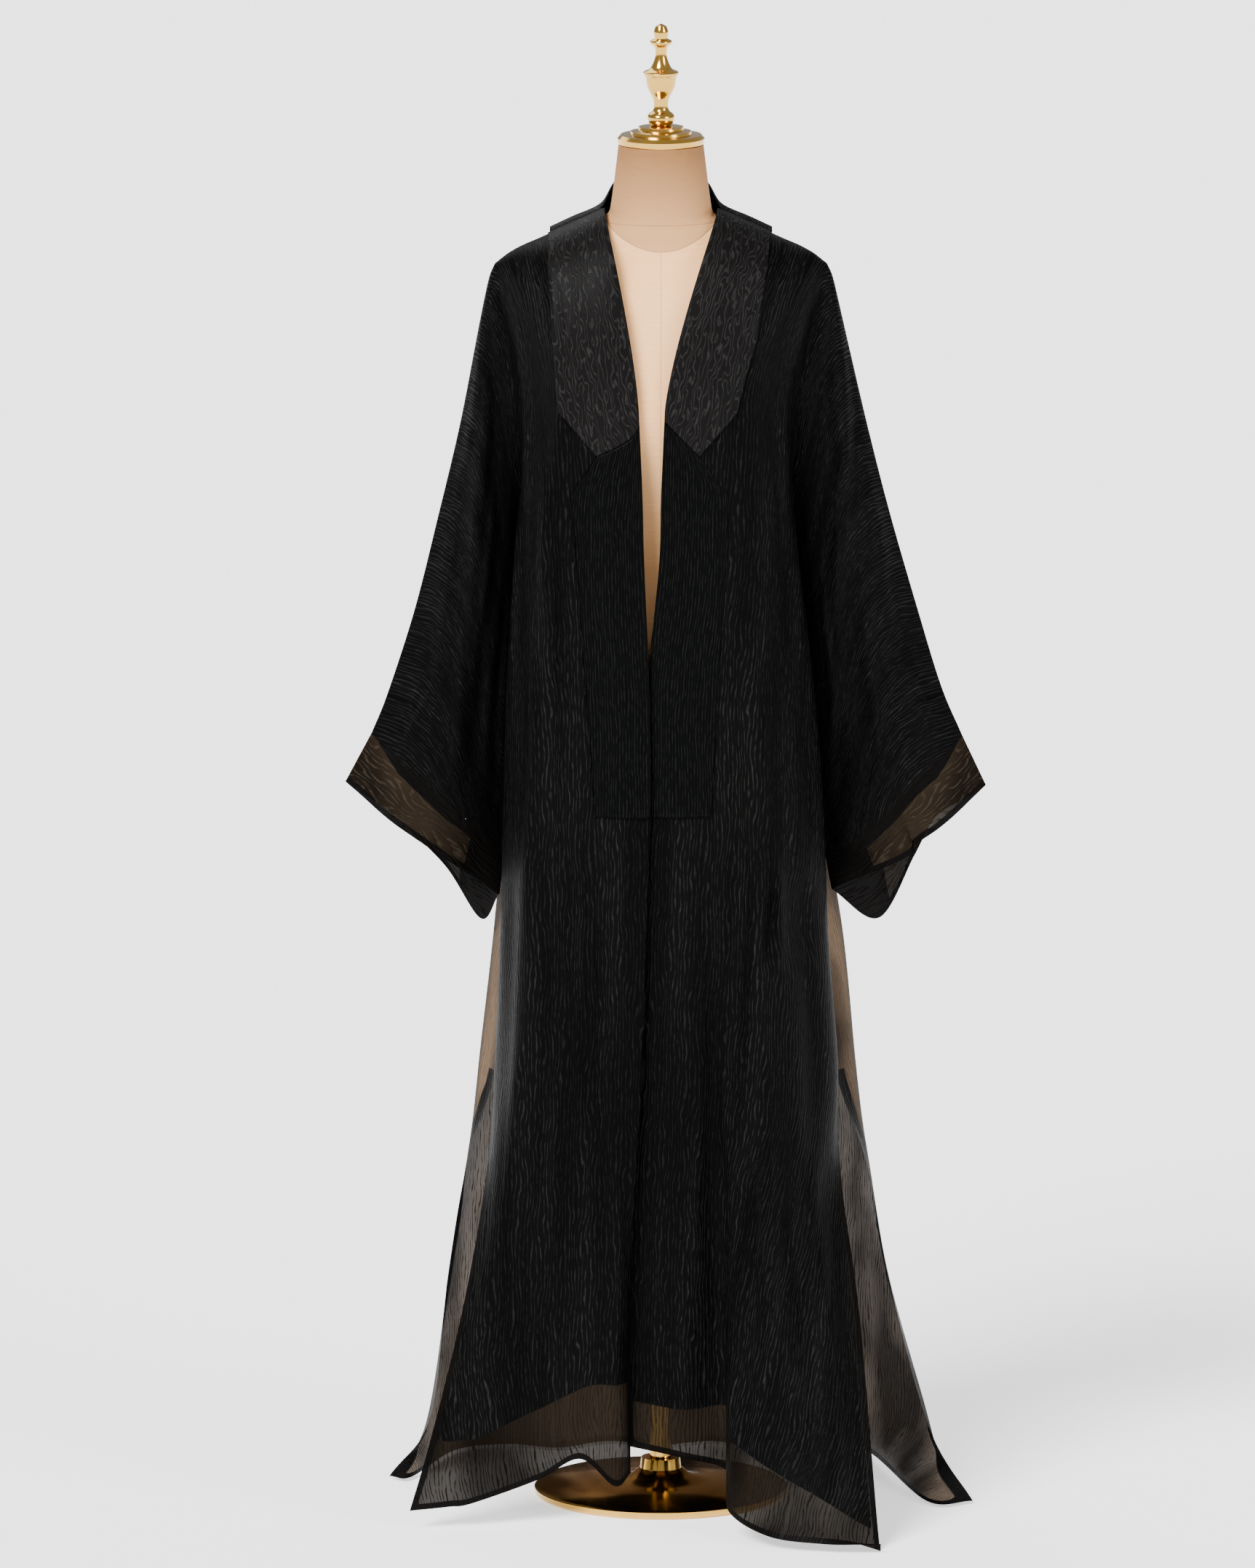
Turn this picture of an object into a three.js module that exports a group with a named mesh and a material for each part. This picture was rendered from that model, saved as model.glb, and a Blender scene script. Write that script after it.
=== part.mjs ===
// An open-front abaya hanging on a limbless dress form.
// Millimetres, +Z up, the front faces -Y, and +X is the wearer's left. The origin is the centre of the
// stand's underside. Left and right in the names are the wearer's.
import * as THREE from 'three';

// Thickness of each cloth and the clearances between pieces
const CLOTH = 1.2;
const LINING = 1.0;
const FACING = 1.6;
const SEAM = 0.3;
const LAYER_GAP = 0.45;
const CUFF_SEAM = 0.6;

// Heights of the body that the cloth hangs from
const BUST_Z = 1275;
const BLADE_Z = 1300;
const SHOULDER_FULLNESS = 0.85;
const EDGE_SWEEP = 1.35;

// Top line of the shoulder, from the neck to its point: distance from the middle, and height
const SHOULDER = [
  { out: 40, z: 1494 },
  { out: 65, z: 1490 },
  { out: 96, z: 1476 },
  { out: 127, z: 1462 },
  { out: 160, z: 1447 },
  { out: 180, z: 1437 },
  { out: 188, z: 1430 },
];

// Rows are numbered down the cloth: 0 is the shoulder, 4 the bust, 6 the armpit, 10 the top of the
// side slit, 13 the lining's hem and 14 the cloth's hem
const UPPER_ROWS = 4;
const ARMPIT_ROW = 6;
const BAND_END_ROW = 8;
const NOTCH_ROW = 4.5;
const BAND_START_ROW = 4.512;
const LINING_HEM_ROW = 13;
const FRONT_ROWS = [
  0, 0.7, 1.4, 2.1, 2.8, 3.4, 4, NOTCH_ROW, BAND_START_ROW, 5, 6, 7, 8, 9, 10,
  10.5, 11, 11.5, 12, 12.5, 13, 13.5, 14,
];
const BACK_LINING_ROW = 12.3;
const BACK_ROWS = [
  0, 0.7, 1.4, 2.1, 2.8, 3.4, 4, 4.5, 5, 6, 7, 8, 9, 10, 11, 12, BACK_LINING_ROW, 13, 13.5, 14,
];
const BACK_COLLAR_ROW = 2.1;

// Each front is given by sections, one a row: its height, and eight stations from the opening to the
// side as [out, forward]. A list of heights gives each station its own.
// Stations of the right front: edge, turn, inner, trough, ridge, hollow, crest, side
const RIGHT_TOP = [63, 69, 88, 112, 130, 150, 170, 188];
const RIGHT_FRONT = [
  {
    z: 1275,
    at: [[26, 117], [33, 119], [60, 119], [98, 110], [116, 108], [134, 86], [150, 60], [166, 22]],
  },
  {
    z: 1181,
    at: [[22, 118], [29, 120], [56, 121], [96, 112], [124, 111], [142, 86], [158, 58], [157, 13]],
  },
  {
    z: 1103,
    at: [[20, 117], [27, 119], [54, 121], [90, 113], [131, 114], [150, 86], [166, 52], [152, 0]],
  },
  {
    z: 950,
    at: [[14, 116], [20, 118], [46, 120], [81, 112], [139, 116], [158, 86], [175, 50], [158, 0]],
  },
  {
    z: 811,
    at: [[13, 119], [19, 121], [44, 122], [76, 114], [147, 118], [165, 86], [179, 50], [166, 0]],
  },
  {
    z: 650,
    at: [[17, 121], [21, 126], [50, 127], [88, 117], [151, 119], [169, 88], [183, 52], [176, 0]],
  },
  {
    z: 500,
    at: [[22, 126], [27, 134], [62, 134], [104, 124], [156, 124], [176, 92], [189, 54], [188, 0]],
  },
  {
    z: 380,
    at: [[29, 131], [34, 145], [72, 142], [118, 134], [168, 132], [184, 116], [193, 100], [200, 82]],
  },
  {
    z: 240,
    at: [[33, 139], [43, 158], [82, 154], [130, 148], [184, 150], [202, 144], [214, 137], [226, 127]],
  },
  {
    z: [162, 162, 160, 135, 103, 98, 96, 100],
    at: [[35, 144], [48, 166], [84, 161], [134, 158], [205, 168], [228, 166], [246, 165], [262, 164]],
  },
  {
    z: [56, 46, 75, 52, 28, 25, 23, 21],
    at: [[35, 150], [53, 172], [92, 160], [140, 166], [215, 182], [240, 186], [262, 188], [286, 190]],
  },
];

// Stations of the left front: edge, inner, fold, fold's face, ridge, hollow, crest, side
const LEFT_TOP = [63, 77, 94, 112, 130, 150, 170, 188];
const LEFT_FRONT = [
  {
    z: 1275,
    at: [[4, 118], [33, 119], [61, 117], [80, 113], [102, 107], [122, 86], [141, 62], [158, 22]],
  },
  {
    z: 1181,
    at: [[0, 119], [31, 120], [60, 118], [80, 114], [104, 112], [127, 88], [147, 60], [148, 13]],
  },
  {
    z: 1103,
    at: [[-2, 117], [28, 120], [57, 117], [80, 114], [106, 115], [132, 88], [155, 56], [146, 0]],
  },
  {
    z: 950,
    at: [[-9, 116], [22, 119], [52, 115], [78, 113], [110, 118], [143, 90], [173, 54], [158, 0]],
  },
  {
    z: 811,
    at: [[-9, 118], [20, 122], [50, 117], [78, 116], [114, 121], [151, 92], [184, 54], [170, 0]],
  },
  {
    z: 650,
    at: [[-14, 122], [20, 127], [54, 122], [79, 122], [118, 129], [158, 98], [190, 56], [184, 0]],
  },
  {
    z: 500,
    at: [[-18, 127], [21, 133], [60, 129], [80, 136], [124, 146], [166, 112], [200, 62], [198, 0]],
  },
  {
    z: 380,
    at: [[-25, 132], [22, 139], [70, 136], [80, 160], [128, 177], [168, 146], [192, 108], [206, 86]],
  },
  {
    z: 240,
    at: [[-29, 138], [24, 145], [74, 143], [79, 190], [130, 220], [174, 208], [206, 184], [226, 165]],
  },
  {
    z: [139, 130, 134, 112, 86, 56, 30, 18],
    at: [[-32, 144], [25, 149], [76, 148], [77, 214], [122, 258], [182, 284], [224, 286], [246, 284]],
  },
  {
    z: [86, 74, 60, 31, 14, 10, 10, 10],
    at: [[-33, 148], [26, 152], [77, 160], [77, 234], [122, 290], [182, 311], [222, 316], [249, 314]],
  },
];

// Where the collar and the band below it end on each front, and where the lining's side edge runs
const RIGHT_COLLAR = [
  { row: 0, out: 127 }, { row: 1.4, out: 127 }, { row: 2.8, out: 122 }, { row: 4, out: 115 },
  { row: 4.5, out: 73 }, { row: 5, out: 102 }, { row: 6, out: 96 }, { row: 7, out: 85 }, { row: 8, out: 75 },
  { row: 14, out: 84 },
];
const LEFT_COLLAR = [
  { row: 0, out: 123 }, { row: 1.4, out: 120 }, { row: 2.8, out: 108 }, { row: 4, out: 85 },
  { row: 4.5, out: 43 }, { row: 5, out: 76 }, { row: 6, out: 72 }, { row: 7, out: 64 }, { row: 8, out: 57 },
  { row: 9, out: 54 }, { row: 10, out: 60 }, { row: 11, out: 70 }, { row: 12, out: 73.5 },
  { row: 14, out: 76.5 },
];
const FRONT_LINING_SHARE = [
  { row: 0, share: 0.975 }, { row: 10, share: 0.975 }, { row: 11, share: 0.955 }, { row: 14, share: 0.94 },
];
// How far the seam between collar and band rises from the notch to the opening's edge, in rows
const GORGE_RISE = [
  { row: 3.4, rise: 0 }, { row: 4, rise: 0.25 }, { row: 4.5, rise: 0.42 }, { row: 5, rise: 0.25 },
  { row: 6, rise: 0 },
];

// The back, from its middle to the side: seven stations as [out, back]; the last two differ by side
const BACK_TOP = [[0, 70], [46, 54], [68, 0], [100, 0], [135, 0], [165, 0], [188, 0]];
const BACK = [
  {
    z: 1300,
    at: [[0, 98], [35, 98], [62, 97], [92, 92], [122, 80]],
    right: [[150, 58], [168, 22]],
    left: [[150, 58], [162, 22]],
  },
  {
    z: 1181,
    at: [[0, 96], [36, 100], [64, 95], [94, 96], [124, 84]],
    right: [[156, 56], [157, 14]],
    left: [[152, 56], [148, 14]],
  },
  {
    z: 1103,
    at: [[0, 97], [36, 102], [66, 96], [96, 99], [128, 88]],
    right: [[160, 54], [152, 0]],
    left: [[156, 54], [146, 0]],
  },
  {
    z: 950,
    at: [[0, 103], [37, 110], [68, 102], [100, 106], [134, 92]],
    right: [[168, 54], [158, 0]],
    left: [[168, 54], [158, 0]],
  },
  {
    z: 811,
    at: [[0, 110], [38, 119], [71, 108], [105, 114], [140, 98]],
    right: [[176, 56], [166, 0]],
    left: [[180, 56], [170, 0]],
  },
  {
    z: 650,
    at: [[0, 118], [40, 130], [75, 116], [112, 124], [150, 106]],
    right: [[190, 54], [176, 0]],
    left: [[207, 54], [184, 0]],
  },
  {
    z: 500,
    at: [[0, 130], [43, 145], [82, 128], [122, 138], [163, 120]],
    right: [[207, 52], [188, 0]],
    left: [[222, 50], [198, 0]],
  },
  {
    z: 380,
    at: [[0, 146], [47, 164], [90, 144], [134, 155], [180, 138]],
    right: [[218, 84], [221, 45]],
    left: [[234, 74], [236, 28]],
  },
  {
    z: 240,
    at: [[0, 172], [52, 194], [100, 168], [150, 182], [200, 160]],
    right: [[238, 112], [244, 72]],
    left: [[256, 92], [262, 45]],
  },
  {
    z: 70,
    at: [[0, 206], [58, 231], [112, 199], [170, 216], [226, 187]],
    right: [[264, 128], [265, 80]],
    left: [[302, 70], [309, 20]],
  },
  {
    z: 4,
    at: [[0, 222], [60, 248], [118, 214], [178, 232], [238, 200]],
    right: [[286, 62], [313, 66]],
    left: [[304, -62], [358, -62]],
  },
];
const BACK_COLLAR_OUT = 125;
const BACK_LINING_SHARE = [
  { row: 0, share: 0.985 }, { row: 8, share: 0.97 }, { row: 9, share: 0.8 }, { row: 10, share: 0.67 },
  { row: 14, share: 0.66 },
];
// How far each row of the collar behind the neck stands off the back, from the neckline down
const COLLAR_RISE = [22, 6, 0, 0];
const COLLAR_RISE_DEPTH = 45;

// Each sleeve: top fold, underarm seam and cuff edges, as [out, forward, height] from body to cuff
// or from the top fold to the underarm
const RIGHT_SLEEVE = {
  fold: [
    [188, 0, 1430], [207, 0, 1351], [228, 0, 1244], [253, 0, 1138], [280, 0, 1030], [311, 0, 933], [329, 0, 888],
  ],
  under: [[152, 0, 1103], [163, 0, 1076], [169, 0, 990], [174, 0, 880], [186, 0, 748]],
  front: [[329, 0, 888], [300, 26, 866], [270, 38, 838], [240, 36, 808], [212, 22, 782], [186, 0, 748]],
  back: [[329, 0, 888], [300, -24, 862], [268, -36, 828], [236, -36, 794], [208, -24, 766], [186, 0, 748]],
  hemFront: [[360, 0, 831], [334, 24, 812], [302, 38, 788], [270, 38, 764], [245, 22, 745], [187, 0, 700]],
  hemBack: [[360, 0, 831], [330, -24, 806], [292, -36, 772], [248, -36, 728], [206, -22, 668], [187, 0, 702]],
};
const LEFT_SLEEVE = {
  fold: [
    [188, 0, 1430], [214, 0, 1330], [235, 0, 1240], [260, 0, 1142], [291, 0, 1034], [319, 0, 942], [343, 0, 885],
  ],
  under: [[146, 0, 1103], [160, 0, 1076], [168, 0, 990], [177, 0, 880], [194, 0, 748]],
  front: [[343, 0, 885], [316, 28, 861], [288, 42, 838], [258, 40, 802], [226, 24, 768], [194, 0, 748]],
  back: [[343, 0, 885], [316, -26, 854], [284, -38, 824], [250, -38, 784], [220, -24, 760], [194, 0, 748]],
  hemFront: [[371, 0, 827], [346, 26, 807], [316, 40, 784], [290, 40, 764], [282, 24, 748], [200, 0, 706]],
  hemBack: [[371, 0, 827], [346, -26, 806], [314, -38, 781], [290, -38, 738], [250, -22, 668], [200, 0, 706]],
};
const SLEEVE_COLUMNS = 8;
const SLEEVE_RIDGE = { depth: 20, across: 0.42, width: 0.17 };

// The dress form: height, half width, depth in front and behind, of the cloth torso and neck
const TORSO = [
  { z: 790, half: 140, front: 92, back: 90 },
  { z: 800, half: 147, front: 98, back: 96 },
  { z: 860, half: 150, front: 102, back: 98 },
  { z: 950, half: 142, front: 98, back: 92 },
  { z: 1040, half: 120, front: 84, back: 78 },
  { z: 1100, half: 112, front: 80, back: 72 },
  { z: 1180, half: 122, front: 92, back: 78 },
  { z: 1260, half: 138, front: 108, back: 86 },
  { z: 1320, half: 152, front: 103, back: 88 },
  { z: 1370, half: 168, front: 92, back: 86 },
  { z: 1405, half: 176, front: 82, back: 80.5 },
  { z: 1422.5, half: 176.3, front: 68, back: 66.6 },
  { z: 1435.1, half: 166, front: 60, back: 60.4 },
  { z: 1446.6, half: 150, front: 56, back: 57.2 },
  { z: 1458.4, half: 123, front: 54, back: 56 },
  { z: 1469.5, half: 94, front: 54, back: 56 },
  { z: 1480, half: 70, front: 53, back: 56 },
];
const NECK = [
  { z: 1480.3, half: 69, front: 53, back: 56 },
  { z: 1487, half: 60, front: 52, back: 55 },
  { z: 1498, half: 57, front: 51, back: 54 },
  { z: 1520, half: 54, front: 50, back: 52 },
  { z: 1545, half: 51, front: 49, back: 50 },
  { z: 1566, half: 48.5, front: 48.5, back: 48.5 },
];
const FORM_SIDES = 28;
const FORM_ROUNDNESS = 2.15;

// Turned pieces of the stand: [radius, height] from the bottom up
const CAP = [
  [0, 1566.3], [48, 1566.3], [49.5, 1569], [49.5, 1573], [46, 1577], [35, 1578], [34.5, 1581],
  [26, 1583], [25.5, 1586], [20, 1587], [0, 1587],
];
const FINIAL = [
  [0, 1587.3], [11, 1587.3], [14, 1591], [15.5, 1597], [13.5, 1601], [9, 1605], [8.2, 1613],
  [10, 1620], [15.5, 1631], [17.5, 1642], [19.5, 1646], [19.5, 1649], [13, 1652], [9, 1659],
  [6.5, 1668], [7.5, 1677], [12, 1681], [12, 1684.5], [7.5, 1687], [8.5, 1694], [6, 1701], [0, 1704],
];
const POLE = [[0, 42.3], [12.5, 42.3], [12.5, 789.7], [0, 789.7]];
const BASE = [
  [0, 0], [142, 0], [145, 3], [145, 8], [140, 11], [60, 16], [34, 21], [24, 30], [22, 42], [0, 42],
];
const TURNED_SIDES = 24;

const materials = {
  organza: new THREE.MeshStandardMaterial({ color: 0x17161a, roughness: 0.5, metalness: 0 }),
  lining: new THREE.MeshStandardMaterial({ color: 0x08080a, roughness: 0.7, metalness: 0 }),
  facing: new THREE.MeshStandardMaterial({ color: 0x1e1d22, roughness: 0.48, metalness: 0 }),
  sheer: new THREE.MeshStandardMaterial({ color: 0x3a332c, roughness: 0.45, metalness: 0 }),
  linen: new THREE.MeshStandardMaterial({ color: 0xd8c7ac, roughness: 0.9, metalness: 0 }),
  gold: new THREE.MeshStandardMaterial({ color: 0xc08a2c, roughness: 0.18, metalness: 1 }),
};

const abaya = new THREE.Group();

function addMesh(name, geometry, material) {
  const mesh = new THREE.Mesh(geometry, material);
  mesh.name = name;
  abaya.add(mesh);
}

// A smooth value along a list: t counts the list's entries, and each entry is a list of numbers
function spline(list, t) {
  const last = list.length - 1;
  const i = Math.min(Math.max(Math.floor(t), 0), last - 1);
  const f = Math.min(Math.max(t - i, 0), 1);
  const b = list[i];
  const c = list[i + 1];
  const a = i > 0 ? list[i - 1] : b.map((value, k) => 2 * value - c[k]);
  const d = i + 2 <= last ? list[i + 2] : c.map((value, k) => 2 * value - b[k]);
  return b.map((value, k) => {
    const slopeIn = (c[k] - a[k]) / 2;
    const slopeOut = (d[k] - value) / 2;
    const lift = c[k] - value;
    const square = 3 * lift - 2 * slopeIn - slopeOut;
    const cube = slopeIn + slopeOut - 2 * lift;
    return value + f * (slopeIn + f * (square + f * cube));
  });
}

// A value read between the rows of a table
function lookUp(table, key, name, at) {
  const next = table.findIndex((entry) => entry[key] >= at);
  if (next <= 0) return next < 0 ? table[table.length - 1][name] : table[0][name];
  const low = table[next - 1];
  const high = table[next];
  const share = (at - low[key]) / (high[key] - low[key]);
  return low[name] + share * (high[name] - low[name]);
}

const shoulderHeight = (out) => lookUp(SHOULDER, 'out', 'z', out);

// One station's path down the cloth as [out, depth, height]: over the shoulder it follows a quarter
// oval from its top point to the bust or blade, and below it passes the section table's points
function stationPath(top, column, chestZ) {
  const chest = column[0];
  return (row) => {
    if (row >= UPPER_ROWS) return spline(column, row - UPPER_ROWS);
    const turn = (row / UPPER_ROWS) * (Math.PI / 2);
    const fall = Math.cos(turn);
    return [
      chest[0] + (top[0] - chest[0]) * fall ** EDGE_SWEEP,
      top[1] + (chest[1] - top[1]) * Math.sin(turn) ** SHOULDER_FULLNESS,
      chestZ + (top[2] - chestZ) * fall,
    ];
  };
}

// A panel's surface: share 0 is its first station and 1 its last
function panelSurface(paths) {
  return (share, row) => spline(paths.map((path) => path(row)), share * (paths.length - 1));
}

function frontSurface(topOuts, sections) {
  const paths = topOuts.map((out, k) => {
    const column = sections.map(({ z, at }) => [at[k][0], at[k][1], Array.isArray(z) ? z[k] : z]);
    return stationPath([out, 0, shoulderHeight(out)], column, BUST_Z);
  });
  return panelSurface(paths);
}

function backSurface(side) {
  const paths = BACK_TOP.map(([out, back], k) => {
    const column = BACK.map((section) => {
      const [x, y] = [...section.at, ...section[side]][k];
      return [x, y, section.z];
    });
    return stationPath([out, back, shoulderHeight(out)], column, BLADE_Z);
  });
  return panelSurface(paths);
}

// The share across a row at which the panel is this far out
function shareAt(surface, row, out) {
  let low = 0;
  let high = 1;
  for (let step = 0; step < 24; step += 1) {
    const middle = (low + high) / 2;
    if (surface(middle, row)[0] < out) low = middle;
    else high = middle;
  }
  return (low + high) / 2;
}

// A sheet is a list of points and the four-sided cells between them. Its cells run anticlockwise
// seen from outside.
class Sheet {
  constructor(flip) {
    this.points = [];
    this.cells = [];
    this.flip = flip;
  }

  addPoint(x, y, z) {
    this.points.push(new THREE.Vector3(x, y, z));
    return this.points.length - 1;
  }

  // Cells between the rows of indices in a grid, tagged so that a piece can take some of them
  addCells(grid, tag) {
    for (let j = 0; j + 1 < grid.length; j += 1) {
      for (let i = 0; i + 1 < grid[j].length; i += 1) {
        const corners = [grid[j][i], grid[j + 1][i], grid[j + 1][i + 1], grid[j][i + 1]];
        this.cells.push({ corners: this.flip ? corners.reverse() : corners, tag, i, j });
      }
    }
  }

  // A direction out of the cloth at each point. On a seam it stays in the seam's plane.
  findNormals() {
    this.normals = this.points.map(() => new THREE.Vector3());
    const [ab, ac, face] = [new THREE.Vector3(), new THREE.Vector3(), new THREE.Vector3()];
    for (const { corners } of this.cells) {
      const [a, b, c, d] = corners.map((index) => this.points[index]);
      face.crossVectors(ab.subVectors(c, a), ac.subVectors(d, b));
      corners.forEach((index) => this.normals[index].add(face));
    }
    this.normals.forEach((normal, index) => {
      if (Math.abs(this.points[index].y) < SEAM) normal.y = 0;
      normal.normalize();
    });
  }

  // A closed wall over the chosen cells, between two distances out of the sheet
  wall(chosen, from, to) {
    const cells = this.cells.filter(chosen);
    const used = [...new Set(cells.flatMap(({ corners }) => corners))];
    const place = new Map(used.map((index, k) => [index, k]));
    const positions = [];
    for (const distance of [from, to]) {
      for (const index of used) {
        const point = this.points[index].clone().addScaledVector(this.normals[index], distance);
        positions.push(point.x, point.y, point.z);
      }
    }
    const inner = (index) => place.get(index);
    const outer = (index) => place.get(index) + used.length;
    const triangles = [];
    const edges = new Map();
    for (const { corners } of cells) {
      const [a, b, c, d] = corners;
      triangles.push(outer(a), outer(b), outer(c), outer(a), outer(c), outer(d));
      triangles.push(inner(a), inner(c), inner(b), inner(a), inner(d), inner(c));
      corners.forEach((start, k) => {
        const end = corners[(k + 1) % 4];
        if (!edges.delete(`${end} ${start}`)) edges.set(`${start} ${end}`, [start, end]);
      });
    }
    for (const [start, end] of edges.values()) {
      triangles.push(inner(start), inner(end), outer(end), inner(start), outer(end), outer(start));
    }
    return indexedGeometry(positions, triangles);
  }
}

function indexedGeometry(positions, triangles) {
  const geometry = new THREE.BufferGeometry();
  geometry.setAttribute('position', new THREE.Float32BufferAttribute(positions, 3));
  geometry.setIndex(triangles);
  geometry.computeVertexNormals();
  return geometry;
}

// Even steps from one value to another, without the first
function steps(from, to, count) {
  return Array.from({ length: count }, (_, k) => from + ((to - from) * (k + 1)) / count);
}

// A sleeve's front or back half between the armhole, the cuff edge, the top fold and the underarm.
// along runs from the body to the cuff, across from the top fold to the underarm.
function sleeveSurface(armhole, shape, cuffEdge) {
  const along = (list, t) => spline(list, t * (list.length - 1));
  const corners = [armhole(0), armhole(1), along(cuffEdge, 0), along(cuffEdge, 1)];
  return (a, b) => {
    const body = armhole(b);
    const cuff = along(cuffEdge, b);
    const fold = along(shape.fold, a);
    const under = along(shape.under, a);
    const ridge = SLEEVE_RIDGE.depth * Math.sin(Math.PI * Math.min(a * 1.2, 1)) ** 2
      * Math.exp(-(((b - SLEEVE_RIDGE.across) / SLEEVE_RIDGE.width) ** 2));
    return body.map((value, k) => {
      const atBody = (1 - b) * corners[0][k] + b * corners[1][k];
      const atCuff = (1 - b) * corners[2][k] + b * corners[3][k];
      const flat = (1 - a) * (value - atBody) + a * (cuff[k] - atCuff) + (1 - b) * fold[k] + b * under[k];
      return k === 1 ? flat + ridge : flat;
    });
  };
}

// Columns across a row in zones: collar, body and the strip outside the lining
function columnShares(zones) {
  let from = zones.start;
  const shares = [from];
  zones.parts.forEach(({ to, count }) => {
    shares.push(...steps(from, to, count));
    from = to;
  });
  return shares;
}

const COLLAR_COLUMNS = 4;
const FRONT_COLUMNS = [2, 6];
const FRONT_MIDDLE_SHARE = 0.6;
const EDGE_COLUMNS = 1;
const BACK_COLLAR_COLUMNS = 6;
const BACK_COLUMNS = 3;
const BACK_SIDE_COLUMNS = 2;
const BACK_MIDDLE = BACK_COLLAR_COLUMNS + BACK_COLUMNS + BACK_SIDE_COLUMNS;

// One front with its half of the sleeve. side is 1 for the wearer's left, -1 for the right.
function makeFront(side, topOuts, sections, collar, sleeve) {
  const surface = frontSurface(topOuts, sections);
  const sheet = new Sheet(side < 0);
  const place = ([out, forward, z]) => sheet.addPoint(side * out, Math.min(-forward, -SEAM / 2), z);
  const body = FRONT_ROWS.map((row) => {
    const collarShare = shareAt(surface, row, lookUp(collar, 'row', 'out', row));
    const shares = columnShares({
      start: 0,
      parts: [
        { to: collarShare, count: COLLAR_COLUMNS },
        { to: FRONT_MIDDLE_SHARE, count: FRONT_COLUMNS[0] },
        { to: lookUp(FRONT_LINING_SHARE, 'row', 'share', row), count: FRONT_COLUMNS[1] },
        { to: 1, count: EDGE_COLUMNS },
      ],
    });
    const rise = lookUp(GORGE_RISE, 'row', 'rise', row);
    return shares.map((share) => place(surface(share, row - rise * Math.max(0, 1 - share / collarShare))));
  });
  sheet.addCells(body, 'body');

  const armhole = (b) => surface(1, b * ARMPIT_ROW);
  const half = sleeveSurface(armhole, sleeve, sleeve.front);
  const sleeveRows = FRONT_ROWS.filter((row) => row <= ARMPIT_ROW);
  const grid = sleeveRows.map((row, j) => [
    body[j][body[j].length - 1],
    ...steps(0, 1, SLEEVE_COLUMNS).map((a) => place(half(a, row / ARMPIT_ROW))),
  ]);
  sheet.addCells(grid, 'sleeve');
  sheet.findNormals();
  return sheet;
}

// The back in one piece with the back halves of both sleeves
function makeBack() {
  const sheet = new Sheet(false);
  const surfaces = { left: backSurface('left'), right: backSurface('right') };
  const place = (side, [out, back, z]) => sheet.addPoint(side * out, Math.max(back, SEAM / 2), z);
  const freePlace = (side, [out, back, z]) => sheet.addPoint(side * out, back, z);
  const body = BACK_ROWS.map((row) => {
    const put = row > 10 ? freePlace : place;
    const half = (name, side) => {
      const surface = surfaces[name];
      const collarShare = shareAt(surface, Math.min(row, BACK_COLLAR_ROW), BACK_COLLAR_OUT);
      const liningShare = lookUp(BACK_LINING_SHARE, 'row', 'share', row);
      const shares = columnShares({
        start: 0,
        parts: [
          { to: collarShare, count: BACK_COLLAR_COLUMNS },
          { to: Math.max(liningShare, collarShare + 0.02), count: BACK_COLUMNS },
          { to: 1, count: BACK_SIDE_COLUMNS },
        ],
      });
      return shares.slice(1).map((share) => put(side, surface(share, row)));
    };
    const middle = put(1, surfaces.left(0, row));
    return [...half('left', 1).reverse(), middle, ...half('right', -1)];
  });
  sheet.addCells(body, 'body');

  const sleeveRows = BACK_ROWS.filter((row) => row <= ARMPIT_ROW);
  const addSleeve = (name, side, shape) => {
    const armhole = (b) => surfaces[name](1, b * ARMPIT_ROW);
    const mirrored = { ...shape, back: shape.back.map(([out, forward, z]) => [out, -forward, z]) };
    const half = sleeveSurface(armhole, mirrored, mirrored.back);
    const grid = sleeveRows.map((row, j) => {
      const points = steps(0, 1, SLEEVE_COLUMNS).map((a) => place(side, half(a, row / ARMPIT_ROW)));
      return side > 0 ? [...points.reverse(), body[j][0]] : [body[j][body[j].length - 1], ...points];
    });
    sheet.addCells(grid, `sleeve ${name}`);
  };
  addSleeve('left', 1, LEFT_SLEEVE);
  addSleeve('right', -1, RIGHT_SLEEVE);
  sheet.findNormals();
  return sheet;
}

const ARMHOLE_SHARES = FRONT_ROWS.filter((row) => row <= ARMPIT_ROW).map((row) => row / ARMPIT_ROW);

// The sheer band round a sleeve's end, closed in a ring: down the front half and up the back half
function makeCuff(side, shape) {
  const sheet = new Sheet(side < 0);
  const along = (list, t) => spline(list, t * (list.length - 1));
  const ring = [
    ...ARMHOLE_SHARES.map((b) => ['front', 'hemFront', b]),
    ...ARMHOLE_SHARES.slice(1, -1).reverse().map((b) => ['back', 'hemBack', b]),
  ];
  const rows = [0, 0.5, 1].map((drop) => {
    const points = ring.map(([edge, hem, b]) => {
      const top = new THREE.Vector3(...along(shape[edge], b));
      const bottom = new THREE.Vector3(...along(shape[hem], b));
      const start = top.clone().addScaledVector(bottom.clone().sub(top).normalize(), CUFF_SEAM);
      const point = start.lerp(bottom, drop);
      return sheet.addPoint(side * point.x, -point.y, point.z);
    });
    return [...points, points[0]];
  });
  const columns = rows[0].map((_, k) => rows.map((row) => row[k]));
  sheet.addCells(columns, 'cuff');
  sheet.findNormals();
  return sheet;
}

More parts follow.
